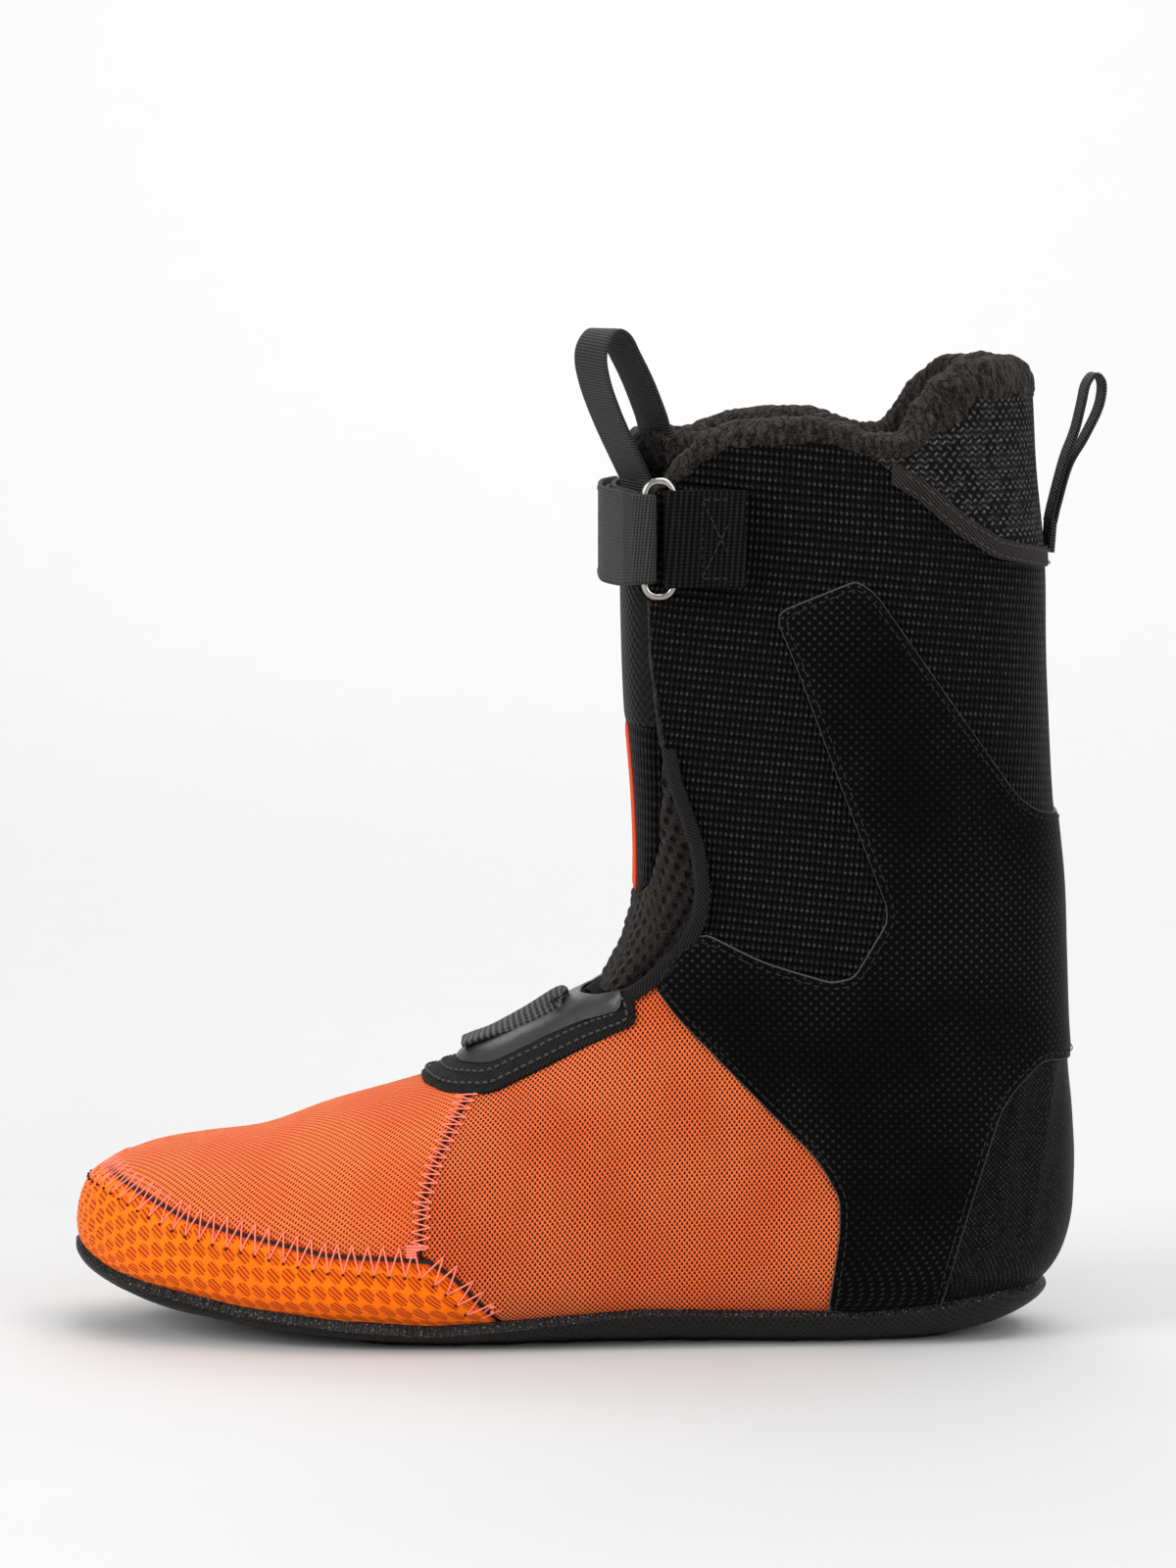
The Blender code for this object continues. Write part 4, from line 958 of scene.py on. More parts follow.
def strap(
    name, path, across, width, thick, look, slot="webbing", body="shell", waist=None, arch=None, instead=None
):
    """Webbing along a path; across is the direction of its width at each point.

    waist scales its width and arch lowers its two edges, at each point. instead names the CAD nodes it
    stands for, when that isn't the one of its own name.
    """
    path = np.array(path, float)
    across = np.broadcast_to(np.array(across, float), path.shape)
    along = unit(np.gradient(path, axis=0))
    across = unit(across - along * (across * along).sum(axis=1, keepdims=True))
    face = np.cross(along, across)
    section = flat_section(width, thick)
    sections = np.repeat(section[None], len(path), axis=0)
    if waist is not None:
        sections[:, :, 0] *= waist[:, None]
    if arch is not None:
        sections[:, :, 1] -= arch[:, None] * (section[:, 0] / width * 2) ** 2
    points, faces, charts = sweep(path, across, face, sections)
    edge = width / 2 - np.abs(np.tile(section[:, 0], len(path)))
    mesh = to_mesh(name, points, faces, charts, edge)
    return place(name, mesh, [look], body, [name] if instead is None else instead, slot)


def furred_roll(name, body, centre, first, second, sections, look, lift_at):
    """A padded roll of fleece along a line, its points pushed out by lift_at(points, middle)."""
    points, faces, charts = sweep(centre, first, second, sections)
    middle = np.repeat(centre, sections.shape[1], axis=0)
    points = points + unit(points - middle) * lift_at(points, middle)[:, None]
    mesh = to_mesh(name, points, faces, charts, np.full(len(points), NO_EDGE))
    place(name, mesh, [look], body, [name], "fleece")


def threads(name, segments, radius, look, slot, body="shell", bow=0.0):
    """Stitches, joined in one mesh: each (start, end, normal) is a round thread that rises by bow midway."""
    points, faces, charts = [], [], []
    around = 6
    shape = np.array([0.0, 0.12, 0.35, 0.65, 0.88, 1.0])  # shares of the length, and the radius at each
    fat = np.array([0.35, 0.85, 1.0, 1.0, 0.85, 0.35])
    for start, end, normal in segments:
        along = end - start
        length = np.linalg.norm(along)
        if length < 1e-6:
            continue
        along = along / length
        side = np.cross(along, normal)
        side /= np.linalg.norm(side)
        up = np.cross(side, along)
        base = len(points)
        for t, size in zip(shape, fat):
            centre = start + along * length * t + up * (bow * math.sin(math.pi * t))
            for j in range(around):
                a = 2 * math.pi * j / around
                points.append(centre + (side * math.cos(a) + up * math.sin(a)) * radius * size)
                charts.append((length * t, a * radius))
        for k in range(len(shape) - 1):
            for j in range(around):
                a, b = base + k * around + j, base + k * around + (j + 1) % around
                faces.append([a, b, b + around, a + around])
        faces.append([base + j for j in range(around)][::-1])
        faces.append([base + (len(shape) - 1) * around + j for j in range(around)])
    mesh = to_mesh(name, points, faces, charts, np.zeros(len(points)))
    return place(name, mesh, [look], body, [], slot)


def dashes(rows, offset, length, gap):
    """Stitch segments along a line on a surface."""
    points = rows[:, PLACE] + rows[:, NORMAL] * offset
    table = np.column_stack([points, rows[:, NORMAL]])
    run = run_of(table)
    made, at = [], gap
    while at + length < run[-1]:
        ends = [np.array([np.interp(s, run, column) for column in table.T]) for s in (at, at + length)]
        made.append((ends[0][:3], ends[1][:3], ends[0][3:]))
        at += length + gap
    return made


def sewn_lines(lines, offset, length, gap):
    """Dashes along all but the shortest of some lines."""
    return [dash for line in lines if len(line) > 20 for dash in dashes(line, offset, length, gap)]


def zigzag(low, high, offset, pitch):
    """Stitch segments between two lines on a surface, back and forth."""
    count = int(run_of(low)[-1] / pitch)
    high = evenly(high, 5 * len(high))
    steps = evenly(low, 2 * count + 1)
    low = steps[::2]
    high = high[[np.linalg.norm(high[:, PLACE] - row[PLACE], axis=1).argmin() for row in steps[1::2]]]
    made = []
    for k in range(count):
        for start, end in ((low[k], high[k]), (high[k], low[k + 1])):
            normal = start[NORMAL] + end[NORMAL]
            made.append((start[PLACE] + start[NORMAL] * offset, end[PLACE] + end[NORMAL] * offset, normal))
    return made


def towards(rows, low_first):
    """The line turned so that it starts at the end that low_first prefers."""
    return rows if low_first(rows[0]) < low_first(rows[-1]) else rows[::-1]


# ---------------------------------------------------------------- the upper
last = last_patch(RIBS_SHOWN, ROUND_SHOWN)
tongue = tongue_patch(TONGUE_ROWS, TONGUE_ROUND)
# Closed outlines in side view. Their far corners only have to lie beyond the liner.
THROAT = [(-250.0, 160.0), (-3.0, 160.0), (-3.0, 95.0)] + FLAP_EDGE + [(17.6, 400.0), (-250.0, 400.0)]
BELOW_COLLAR = [(-300.0, -300.0), (-300.0, 247.0)] + COLLAR + [(300.0, 279.5), (300.0, -300.0)]
upper = last.outside(THROAT).within(BELOW_COLLAR, -COLLAR_RADIUS - 0.4)
skin_in = -COVER
foam_out = skin_in - GAP
foam_in = foam_out - FOAM
lining_out = foam_in - GAP
lining_in = lining_out - LINING
seam = GAP / 2
RAND = RAND_SEAM + [(-170.0, -30.0)]
TOE_SIDE = VAMP_SEAM + [(-220.0, 95.0), (-220.0, -30.0)]
SIDE_FRONT = SIDE_PANEL_BACK + [(-220.0, -30.0), (-220.0, 150.0)]
HEEL = HEEL_PANEL_FRONT + [(160.0, -30.0)]
FILM = rounded(OVERLAY_OUTLINE)
film_patch = upper.within(FILM).over(SOLE_TOP, 0.1)
back_patch = upper.outside(SIDE_FRONT, seam)


def ripple(size, depth, seed):
    """A relief of soft lumps."""
    return lambda patch: depth * lumps(patch.rows[:, PLACE], size, seed)


def build_covers(looks):
    """The cloth outside: toe and side panels, rand, cuff meshes, spoiler, heel and the film over them."""
    def cover(name, patch, outer, look, slot, **how):
        cloth(name, patch, skin_in, outer, [looks[look]], slot, **how)

    toe = upper.within(TOE_SIDE, -seam).outside(RAND, RAND_GAP)
    cover("toe_top_panel", toe, 0.2, "toe_mesh", "orange_mesh", chart="toe", relief=ripple(34, 0.5, 1))
    rand = upper.within(RAND, -RAND_GAP)
    cover("toe_rand", rand, 0.3, "rand", "orange_rand", chart="toe", relief=ripple(20, 0.3, 4))
    vamp = upper.outside(TOE_SIDE, seam).outside(RAND, RAND_GAP).within(SIDE_FRONT, -seam)
    cuff = back_patch.outside(HEEL, seam)
    for name, side in SIDES:
        part = vamp.half(side)
        cover(f"side_panel_{name}", part, 0, "side_mesh", "orange_mesh", relief=ripple(30, 0.4, 2))
        part = cuff.half(side).under(SPOILER_LINE, seam)
        how = {"chart": "leg", "soft": 0.1, "relief": ripple(26, 0.35, 3)}
        cover(f"cuff_mesh_{name}", part, 0, "cuff_mesh", "black_mesh", **how)
    part = cuff.over(SPOILER_LINE, seam)
    cover("spoiler_mesh", part, 0, "open_mesh", "black_mesh", chart="leg", soft=0.1)
    part = back_patch.within(HEEL, -seam)
    cover("heel_panel", part, 0, "heel", "ripstop", chart="leg", relief=heel_pleats)
    film_looks = [looks["film"], looks["cut_edge"]]
    how = {"chart": "leg", "soft": 0.45, "reach": 0.8, "relief": ankle_shape}
    cloth("ankle_overlay", film_patch, 0.1, GAP + OVERLAY, film_looks, "black_film", **how)


def heel_pleats(patch):
    """Two soft creases beside the heel, from the overlay's edge down towards the sole."""
    lift = 0.25 * lumps(patch.rows[:, PLACE], 14, 7)
    for top, foot, depth in (((124, 78), (113, 26), 1.6), ((132, 78), (125, 30), 1.2)):
        distance = line_distance([top, foot], patch.x, patch.z)
        lift += depth * (ridge(distance, 1.8) - 0.6 * ridge(distance, 4.6))
    return lift


def ankle_shape(patch):
    """The pad under the ankle stands out a little, with a pressed line round it."""
    depth = patch.depth_in(rounded(ANKLE_BUMP, share=0.45))
    pad = 0.5 * smooth(3.0, -3.0, depth)
    return pad - 0.5 * ridge(depth, 1.1) + 0.25 * lumps(patch.rows[:, PLACE], 40, 5)


def build_inside(looks):
    """Foams, heel counter, ankle pads, lining, insole board and footbed."""
    ankle_line = [(-220.0, 99.0), (170.0, 99.0)]
    counter = [(160.0, 70.0), (112.0, 62.0), (98.0, 30.0), (92.0, -30.0), (160.0, -30.0)]
    pads = [(60.0, 62.0), (60.0, 86.0), (82.0, 92.0), (102.0, 84.0), (102.0, 64.0), (82.0, 54.0)]
    foot = upper.under(ankle_line, seam).outside(pads, GAP)
    cuff = upper.over(ankle_line, seam)
    toe = foot.split(foot.x - TOE_FOAM_END + seam)
    foot = foot.split(TOE_FOAM_END + seam - foot.x)
    near_counter = foot.depth_in(counter)
    counter_in = foam_out - 1.5
    heel_step = np.where(near_counter < 2.0, counter_in - GAP, foam_out)
    foam_piece("toe_foam", toe, foam_in, foam_out, looks)
    foam_piece("foot_foam", foot, foam_in, heel_step, looks)
    foam_piece("cuff_foam", cuff.under(SPOILER_LINE, GAP), foam_in, foam_out, looks)
    foam_piece("spoiler_foam", cuff.over(SPOILER_LINE, GAP), foam_in, foam_out, looks)
    hard = upper.within(counter)
    cloth("heel_counter", hard, counter_in, foam_out, [looks["moulded"]], "stiffener", soft=0.3)
    for name, side in SIDES:
        part = upper.within(pads, -2 * GAP).half(side)
        foam_piece(f"ankle_pad_{name}", part, foam_in, foam_out, looks)
    tufts = ripple(3.4, 0.5, 11)
    cloth("lining", upper, lining_in, lining_out, [looks["fleece"]], "fleece", relief=tufts, soft=0)
    # The board lies where the last faces down by this share, ahead of its back end. The footbed is smaller.
    board_slope, bed_slope = 0.8, 0.87
    board_back, bed_front = 104, -134
    floor_of_foot = last.split(last.rows[:, NORMAL_Z] + board_slope)
    floor_of_foot = floor_of_foot.split(floor_of_foot.x - board_back)
    board_out = lining_in - GAP
    bed_out = board_out - BOARD - GAP
    cloth("insole_board", floor_of_foot, board_out - BOARD, board_out, [looks["board"]], "board", soft=0)
    bed = floor_of_foot.split(floor_of_foot.rows[:, NORMAL_Z] + bed_slope)
    bed = bed.split(bed_front - bed.x)
    on = {"body": "footbed", "chart": "under", "soft": 0}
    piece = cloth("footbed", bed, bed_out - FOOTBED, bed_out, [looks["bed"]], "footbed_foam", **on)


def build_sole(looks):
    """The rubber sole: thick below, thin where it wraps up the side, and flat where it stands."""
    rim = last.under(SOLE_TOP)
    down = np.clip(-rim.rows[:, NORMAL_Z], 0, 1) ** 2
    outer = GAP + SOLE_SIDE + (SOLE_BOTTOM - SOLE_SIDE - GAP) * down
    how = {"chart": "under", "soft": 0.7, "reach": 1.0, "relief": ripple(9, 0.12, 9)}
    obj = cloth("sole", rim, 0.1, outer, [looks["sole"]], "sole_rubber", **how)
    for vertex in obj.data.vertices:
        if vertex.co.z < FLAT * MM:
            vertex.co.z = 0.0


# ---------------------------------------------------------------- fleece rolls and tapes
def open_edge():
    """The open edge of the upper, from the front of the throat all the way round."""
    rows = upper.rows[upper.loops()[0]]
    start = int(np.argmin(rows[:, 0] + np.abs(rows[:, 1])))
    return evenly(np.vstack([rows[start:], rows[:start], rows[start : start + 1]]), EDGE_STEPS)


def build_collar(looks):
    """The lining turned out over the open edge: a thick roll round the top, thin down the flaps."""
    rows = open_edge()
    rows = rows[rows[:, 2] > ROLL_LOW]
    _, normal, across = frames(rows)
    thick = smooth(*ROLL_THICK, rows[:, 2])
    spoiler = smooth(*ROLL_SPOILER, rows[:, 2])
    wall = (-lining_in) * rows[:, WALL]
    half_wall = wall / 2 + 0.2 + 0.7 * thick
    half_rise = 1.7 + (COLLAR_RADIUS - 1.9) * thick + 3.6 * spoiler
    around = 72
    ring = ellipse(1, 1, around)
    sections = np.stack([ring * pair for pair in zip(half_wall, half_rise)])
    centre = rows[:, PLACE] - normal * (wall / 2)[:, None]
    centre[:, 2] -= 3.5 * spoiler
    size = np.repeat(0.35 + 0.65 * thick, around)
    run = np.repeat(run_of(rows), around)
    angle = np.tile(np.arange(around) / around * 2 * math.pi, len(rows))
    furrow_pitch = 3.4

    def lift_at(points, middle):
        """Furrows across the roll, and the lumps of its pile."""
        folds = 0.12 * np.cos(2 * math.pi * run / furrow_pitch + 1.2 * angle + 3.0 * lumps(middle, 9, 2))
        return (folds + 0.6 * lumps(points, 6.0, 3) + 0.2 * lumps(points, 1.5, 5)) * size

    furred_roll("collar_roll", "shell", centre, normal, across, sections, looks["fleece"], lift_at)


def build_tapes(looks):
    """Twill tapes: along both flaps and the throat, and under the spoiler."""
    rows = open_edge()
    for side_name, side in SIDES:
        name = f"flap_binding_{side_name}"
        part = rows[(side * rows[:, 1] > FLAP_TAPE_SIDE) & (rows[:, 2] < FLAP_TAPE_TOP)]
        _, normal, across = frames(part)
        inward = across if across[len(part) // 2][0] > 0 else -across
        wall = float(np.mean(part[:, WALL])) * -lining_in
        # The tape wraps the edge: steps away from the edge and out of the surface.
        section = [(TAPE, 1.2), (0.6, 1.2), (-0.7, 0.4), (-0.9, -wall / 2), (-0.7, -wall)]
        section += [(0.5, -wall - 0.8), (3.0, -wall - 0.8), (3.0, -wall - 0.1), (0.6, -wall - 0.1)]
        section += [(0.1, -wall / 2), (0.4, 0.2), (TAPE, 0.25)]
        section = np.array(rounded(section, steps=3, share=0.3))
        sections = np.repeat(section[None], len(part), axis=0)
        points, faces, charts = sweep(part[:, PLACE], inward, normal, sections)
        mesh = to_mesh(name, points, faces, charts, np.full(len(points), NO_EDGE))
        place(name, mesh, [looks["tape"]], "shell", [name], "binding_tape")
    band = back_patch.split(line_distance(SPOILER_LINE, back_patch.x, back_patch.z) - COLLAR_TAPE)
    band = band.split(COLLAR_TAPE_FRONT - band.x)
    look = looks["collar_tape"]
    cloth("collar_binding", band, 0.1, GAP + 1.1, [look], "binding_tape", chart="leg", relief=collar_ridges)


def collar_ridges(patch):
    """Two raised edges with a groove between them."""
    return -0.35 * ridge(line_distance(SPOILER_LINE, patch.x, patch.z), 0.9)


def build_instep(looks):
    """The stitched binding over the instep, its leather patch and the low loop on it."""
    patch = upper.within(rounded(PATCH_OUTLINE, share=0.2))
    tucked = lambda p: -0.5 * ridge(p.rim_distance() - 2.9, 0.5)
    cloth("instep_binding", patch, 0.1, GAP + 1.4, [looks["tape"]], "webbing", soft=0.7, relief=tucked)
    raised = upper.within(rounded(LEATHER_OUTLINE, share=0.3))
    crowned = lambda p: 1.1 * smooth(0, 4.5, p.rim_distance()) + 0.35 * lumps(p.rows[:, PLACE], 12, 6)
    look = looks["leather"]
    cloth("instep_patch", raised, GAP + 1.2, 2 * GAP + 1.9, [look], "faux_leather", relief=crowned)
    low = [(-36.0, 82.3), (-28.0, 86.2), (-18.0, 91.8), (-9.4, 97.2), (-6.6, 97.6), (-6.0, 95.2)]
    steps = 60
    low = [(x, 0.0, z) for x, z in evenly(spline(low, 80), steps)]
    arch = 4.6 * smooth(0, 45, np.arange(steps))
    strap("instep_loop", low, (0, 1, 0), 18.0, 1.4, looks["loop_webbing_lit_copy"], arch=arch)


# ---------------------------------------------------------------- tongue
def build_tongue(looks):
    """The tongue's front panels, side fleece, foam, stiffener, lining and top roll."""
    # Side-view outlines and levels: beyond the window is fleece, the shield is the hidden stiffener.
    window = [
        (-50.0, 127.0), (14.0, 127.0), (17.0, 131.0), (19.5, 142.0), (20.5, 155.0), (20.0, 300.0),
        (-50.0, 300.0),
    ]
    shield = [(-50.0, 142.0), (19.0, 142.0), (19.0, 232.0), (-50.0, 232.0)]
    top = [(-50.0, TONGUE_TOP), (90.0, TONGUE_TOP)]
    panel_line = [(-50.0, TONGUE_PANEL_LOW), (90.0, TONGUE_PANEL_LOW)]
    body = tongue.under(top)
    front = body.within(window, -seam)
    mesh = front.under(panel_line, seam)
    below = COVER + GAP
    deep = -below - TONGUE_FOAM
    stiffener = 1.0
    on = {"body": "tongue", "chart": "leg"}
    panel = front.over(panel_line, seam)
    cloth("tongue_upper_panel", panel, -COVER, 0.2, [looks["panel"]], "ripstop", soft=0.3, **on)
    strip = mesh.split(mesh.y - TONGUE_STRIP_HALF)
    strip = strip.split(-strip.y - TONGUE_STRIP_HALF)
    cloth("tongue_centre_strip", strip, -COVER, 0.3, [looks["strip"]], "orange_mesh", **on)
    for name, side in SIDES:
        flank = mesh.split(TONGUE_STRIP_HALF + GAP - side * mesh.y)
        cloth(f"tongue_mesh_{name}", flank, -COVER, 0, [looks["tongue_mesh"]], "black_mesh", **on)
    wings = body.outside(window, seam)
    piece = cloth("tongue_side_fleece", wings, -COVER, 0, [looks["waffle"]], "fleece", relief=waffled, **on)
    foam_piece("tongue_foam", body, deep, -below - stiffener - GAP, looks, **on)
    hard = body.within(shield)
    cloth("tongue_stiffener", hard, -below - stiffener, -below, [looks["moulded"]], "stiffener", **on)
    tufts = ripple(3.4, 0.4, 12)
    lining = deep - GAP
    cloth("tongue_lining", body, lining - 1.4, lining, [looks["fleece"]], "fleece", relief=tufts, **on)
    build_tongue_roll(looks)


def build_tongue_roll(looks):
    """The fleece roll along the tongue's top edge, tapering at its two ends."""
    steps, around = 320, 56
    row = tongue.rows.reshape(TONGUE_ROWS, TONGUE_ROUND, -1)[-12]
    normal = row[:, NORMAL] * (1, 1, 0)
    centre = row[:, PLACE] * (1, 1, 0) - normal * 4.6 + (0, 0, TONGUE_TOP + 5.2)
    path = evenly(np.column_stack([centre, normal]), steps)
    sections = np.repeat(ellipse(5.0, 6.2, around)[None], steps, axis=0)
    from_end = np.minimum(np.arange(steps), np.arange(steps)[::-1])
    taper = np.clip(from_end / 14, 0.35, 1) ** 0.5
    sections = sections * taper[:, None, None]
    up = np.tile([0.0, 0.0, 1.0], (steps, 1))
    lift_at = lambda points, middle: 0.5 * lumps(points, 4.6, 8) + 0.18 * lumps(points, 1.2, 2)
    look = looks["fleece"]
    furred_roll("tongue_top_roll", "tongue", path[:, :3], path[:, 3:], up, sections, look, lift_at)


def waffled(patch):
    """Rows of soft tufts on the deep fleece."""
    u, v = patch.rows[:, FRONT_RUN], patch.z
    tufts = np.cos(2 * math.pi * (u + 0.4 * v) / 6.0) * np.cos(2 * math.pi * (v - 0.2 * u) / 5.6)
    points = patch.rows[:, PLACE]
    return 0.4 * tufts + 0.3 * lumps(points, 6.0, 9) + 0.12 * lumps(points, 1.3, 4)


# ---------------------------------------------------------------- strap, ring and loops
def arc(centre, radius, start, stop, count=13):
    """Points on an arc, its angles in degrees."""
    angles = np.radians(np.linspace(start, stop, count))
    return [(centre[0] + radius * math.cos(a), centre[1] + radius * math.sin(a)) for a in angles]


def in_plan(path):
    """A path in plan, at the strap's height."""
    return [(x, y, STRAP_Z) for x, y in path]


def beside(path, distance):
    """A path in plan, moved to its outer side."""
    along = unit(np.gradient(path, axis=0))
    return path + distance * np.stack([along[:, 1], -along[:, 0]], axis=1)


def between(path, low, high):
    """The part of a path in plan between two values of y."""
    return path[(path[:, 1] > low) & (path[:, 1] < high)]


UP = (0, 0, 1)
SIDE_OUT = 47.6  # how far out the shell's side is at the strap
RING_OUT = SIDE_OUT + 3.4
FRONT_BAR, REAR_BAR = 15.8, 23.6
FOLD_RADIUS = 2.5
ANCHOR_RADIUS = 1.95


def build_strap(looks):
    """The strap, its tail and hook pad, the ring and the two anchors; returns the strap's webbing and the
    tail's stitches.
    """
    wrap = [(44, SIDE_OUT + 1.9), (34, SIDE_OUT + 1.5), (25, SIDE_OUT + 1.0), (19, SIDE_OUT + 0.2)]
    wrap += [(15.0, 45.0), (11.4, 37.0), (8.6, 26.0), (7.6, 14.0), (7.35, 0.0), (7.6, -14.0)]
    wrap += [(8.6, -26.0), (11.2, -37.0), (13.2, -44.0), (14.4, -47.0)]
    wrap = evenly(spline(wrap, 200), 260)
    outer = beside(wrap, STRAP_LAYERS)
    fold = arc((FRONT_BAR, -RING_OUT), FOLD_RADIUS, 90, -90)
    tail = np.vstack([[(13.1, -52.6), (10.2, -47.4)], between(outer, -40.0, 1.4)[::-1]])
    steps = 200
    path = np.vstack([evenly(wrap, steps), fold, evenly(tail, 90)])
    from_fold = np.arange(len(path)) - (steps + 6)
    waist = 1 - 0.09 * ridge(from_fold, 16)
    size = STRAP_HEIGHT, STRAP_THICK
    webbing = strap("strap_webbing", in_plan(path), UP, *size, looks["webbing"], body=None, waist=waist)
    pad = evenly(between(beside(wrap, STRAP_LAYERS / 2), -29.0, 29.0), 60)
    hooks = looks["hooks"]
    strap("hook_pad", in_plan(pad), UP, STRAP_HEIGHT - 3, 1.9, hooks, "hook_and_loop", body="tongue")
    end = evenly(between(outer, 2.5, 40.0), 60)
    strap("strap_end_tab", in_plan(end), UP, *size, looks["webbing"], body="strap_tab")
    build_anchors(looks)
    build_ring(looks)
    box_stitches(looks)
    return [webbing, strap_stitches(looks, wrap)]


def strap_stitches(looks, wrap):
    """A seam near each edge of the tail and the tab; returns the tail's."""
    over = STRAP_LAYERS + STRAP_THICK / 2 + 0.1
    from_edge = 1.7
    sewn = []
    for part, rides in ((between(wrap, -38.0, 1.0), None), (between(wrap, 3.4, 40.0), "strap_tab")):
        face = beside(part, over)
        out = unit(face - part)
        made = []
        for rise in (-1, 1):
            z = np.full(len(face), STRAP_Z + rise * (STRAP_HEIGHT / 2 - from_edge))
            made += dashes(np.column_stack([face, z, out, z * 0]), 0, 1.6, 0.9)
        name = f"strap_stitches_{len(sewn)}"
        sewn.append(threads(name, made, 0.2, looks["dark_thread"], "webbing", body=rides))
    return sewn[0]


def build_anchors(looks):
    """The webbing that holds the ring's rear bar, and the strap's sewn end on the other side."""
    path = [(43.6, -SIDE_OUT - 1.95), (36, -SIDE_OUT - 1.75), (29, -SIDE_OUT - 1.55)]
    path += arc((REAR_BAR, -RING_OUT), ANCHOR_RADIUS, 90, 270)
    path += [(28, -RING_OUT - 1.45), (33, -RING_OUT - 0.25), (37, -SIDE_OUT - 3.35), (43.6, -SIDE_OUT - 3.6)]
    path = evenly(np.array(path, float), 90)
    strap("strap_anchor", in_plan(path), UP, STRAP_HEIGHT, STRAP_THICK, looks["anchor_webbing"])
    path = evenly(np.array([(46, SIDE_OUT + 3.6), (36, SIDE_OUT + 3.2), (27, SIDE_OUT + 2.7)], float), 20)
    strap("strap_anchor_medial", in_plan(path), UP, STRAP_HEIGHT + 2, 1.2, looks["panel"], "ripstop")


def build_ring(looks):
    """A rectangle of round steel wire with rounded corners."""
    half_tall, corner, wire = 16.0, 3.6, 1.0
    middle = (FRONT_BAR + REAR_BAR) / 2
    half_wide = (REAR_BAR - FRONT_BAR) / 2
    ring = []
    for x, z, start in ((1, 1, 0), (-1, 1, 90), (-1, -1, 180), (1, -1, 270)):
        centre = middle + x * (half_wide - corner), STRAP_Z + z * (half_tall - corner)
        ring += [(px, -RING_OUT, pz) for px, pz in arc(centre, corner, start, start + 90, 9)]
    ring = np.array(ring)
    ring = evenly(np.vstack([ring, ring[:1]]), 161)[:-1]
    along = unit(np.roll(ring, -1, axis=0) - np.roll(ring, 1, axis=0))
    sideways = np.array([0.0, 1.0, 0.0])
    sections = np.repeat(ellipse(wire, wire, 20)[None], len(ring), axis=0)
    second = np.tile(sideways, (len(ring), 1))
    points, faces, charts = sweep(ring, np.cross(along, sideways), second, sections, closed=True)
    mesh = to_mesh("strap_ring", points, faces, charts, np.full(len(points), NO_EDGE))
    place("strap_ring", mesh, [looks["steel"]], "ring", ["strap_ring"], "steel")


def box_stitches(looks):
    """The box and cross sewn through the ring's anchor."""
    face = -SIDE_OUT - 3.6 - STRAP_THICK / 2 - 0.15
    inset = STRAP_HEIGHT / 2 - 2.6
    low, high = STRAP_Z - inset, STRAP_Z + inset
    front, back = 31.5, 42.0
    sinks_from = 37  # behind this x the stitches sink into the webbing
    corners = [(back, low), (back, high), (front, high), (front, low), (back, low)]
    made = []
    for line in (corners, [(back, low), (front, high)], [(back, high), (front, low)]):
        for a, b in zip(line, line[1:]):
            steps = max(2, int(math.dist(a, b) / 2.4))
            for k in range(steps):
                ends = [np.array(a) + (np.array(b) - a) * ((k + t) / steps) for t in (0.12, 0.88)]
                ends = [np.array([x, face + 0.42 * max(0, x - sinks_from), z]) for x, z in ends]
                made.append((*ends, np.array([0.0, -1.0, 0.0])))
    threads("anchor_stitches", made, 0.26, looks["film_thread"], "webbing", bow=0.1)


def build_loops(looks):
    """The two pull loops, and the sewn root below each, which touches its loop and stands for no node."""
    look = looks["webbing"]
    # Front loop: distance ahead of its base and height, in the upright plane it faces.
    front = [(0.2, LOOP_PIVOT_Z), (3.7, 250.4), (7.8, 257.6), (11.6, 265.0), (14.5, 272.0), (15.9, 278.3)]
    front += [(14.9, 283.0), (11.5, 286.3), (7.6, 284.8), (4.2, 279.5), (0.3, 273.0), (-2.9, 266.5)]
    front += [(-5.1, 261.4), (-6.4, 257.0)]
    root = np.array([(-0.7, 239.5), (0.5, LOOP_PIVOT_Z + 0.6)])
    ahead = np.array([-math.cos(LOOP_TURN), -math.sin(LOOP_TURN)])
    across = (math.sin(LOOP_TURN), -math.cos(LOOP_TURN), 0)
    stand = lambda line: [(*(LOOP_BASE + ahead * out), z) for out, z in line]
    size = PULL_WIDTH, STRAP_THICK
    path = stand(evenly(spline(front, 200), 160))
    strap("front_pull_loop", path, across, *size, look, body="front_loop")
    strap("front_loop_root", stand(evenly(root, 12)), across, *size, look, body="tongue", instead=[])
    # Rear loop: x and height, in the middle plane, its webbing turned a little.
    rear = [(130.9, 231.6), (132.1, 237.2), (135.2, 249.2), (138.2, 257.4), (140.0, 264.9), (141.3, 270.6)]
    rear += [(143.7, 273.4), (145.8, 270.6), (144.8, 263.8), (140.6, 255.0), (136.4, 247.6), (133.3, 236.8)]
    rear += [(132.1, 231.6)]
    root = np.array([(130.9, 223.0), (131.6, 232.6)])
    turn = math.radians(10.0)
    across = (math.sin(turn), -math.cos(turn), 0)
    stand = lambda line: [(x, 0.0, z) for x, z in line]
    path = stand(evenly(spline(rear, 240), 200))
    strap("rear_pull_loop", path, across, REAR_PULL_WIDTH, REAR_PULL_THICK, look, body="rear_loop")
    strap("rear_loop_root", stand(evenly(root, 12)), across, REAR_PULL_WIDTH, 2.2, look, instead=[])


# ---------------------------------------------------------------- stitches
def past_middle(side):
    """The last on this side, and 6 mm of the other."""
    return last.split(6 - side * last.y)


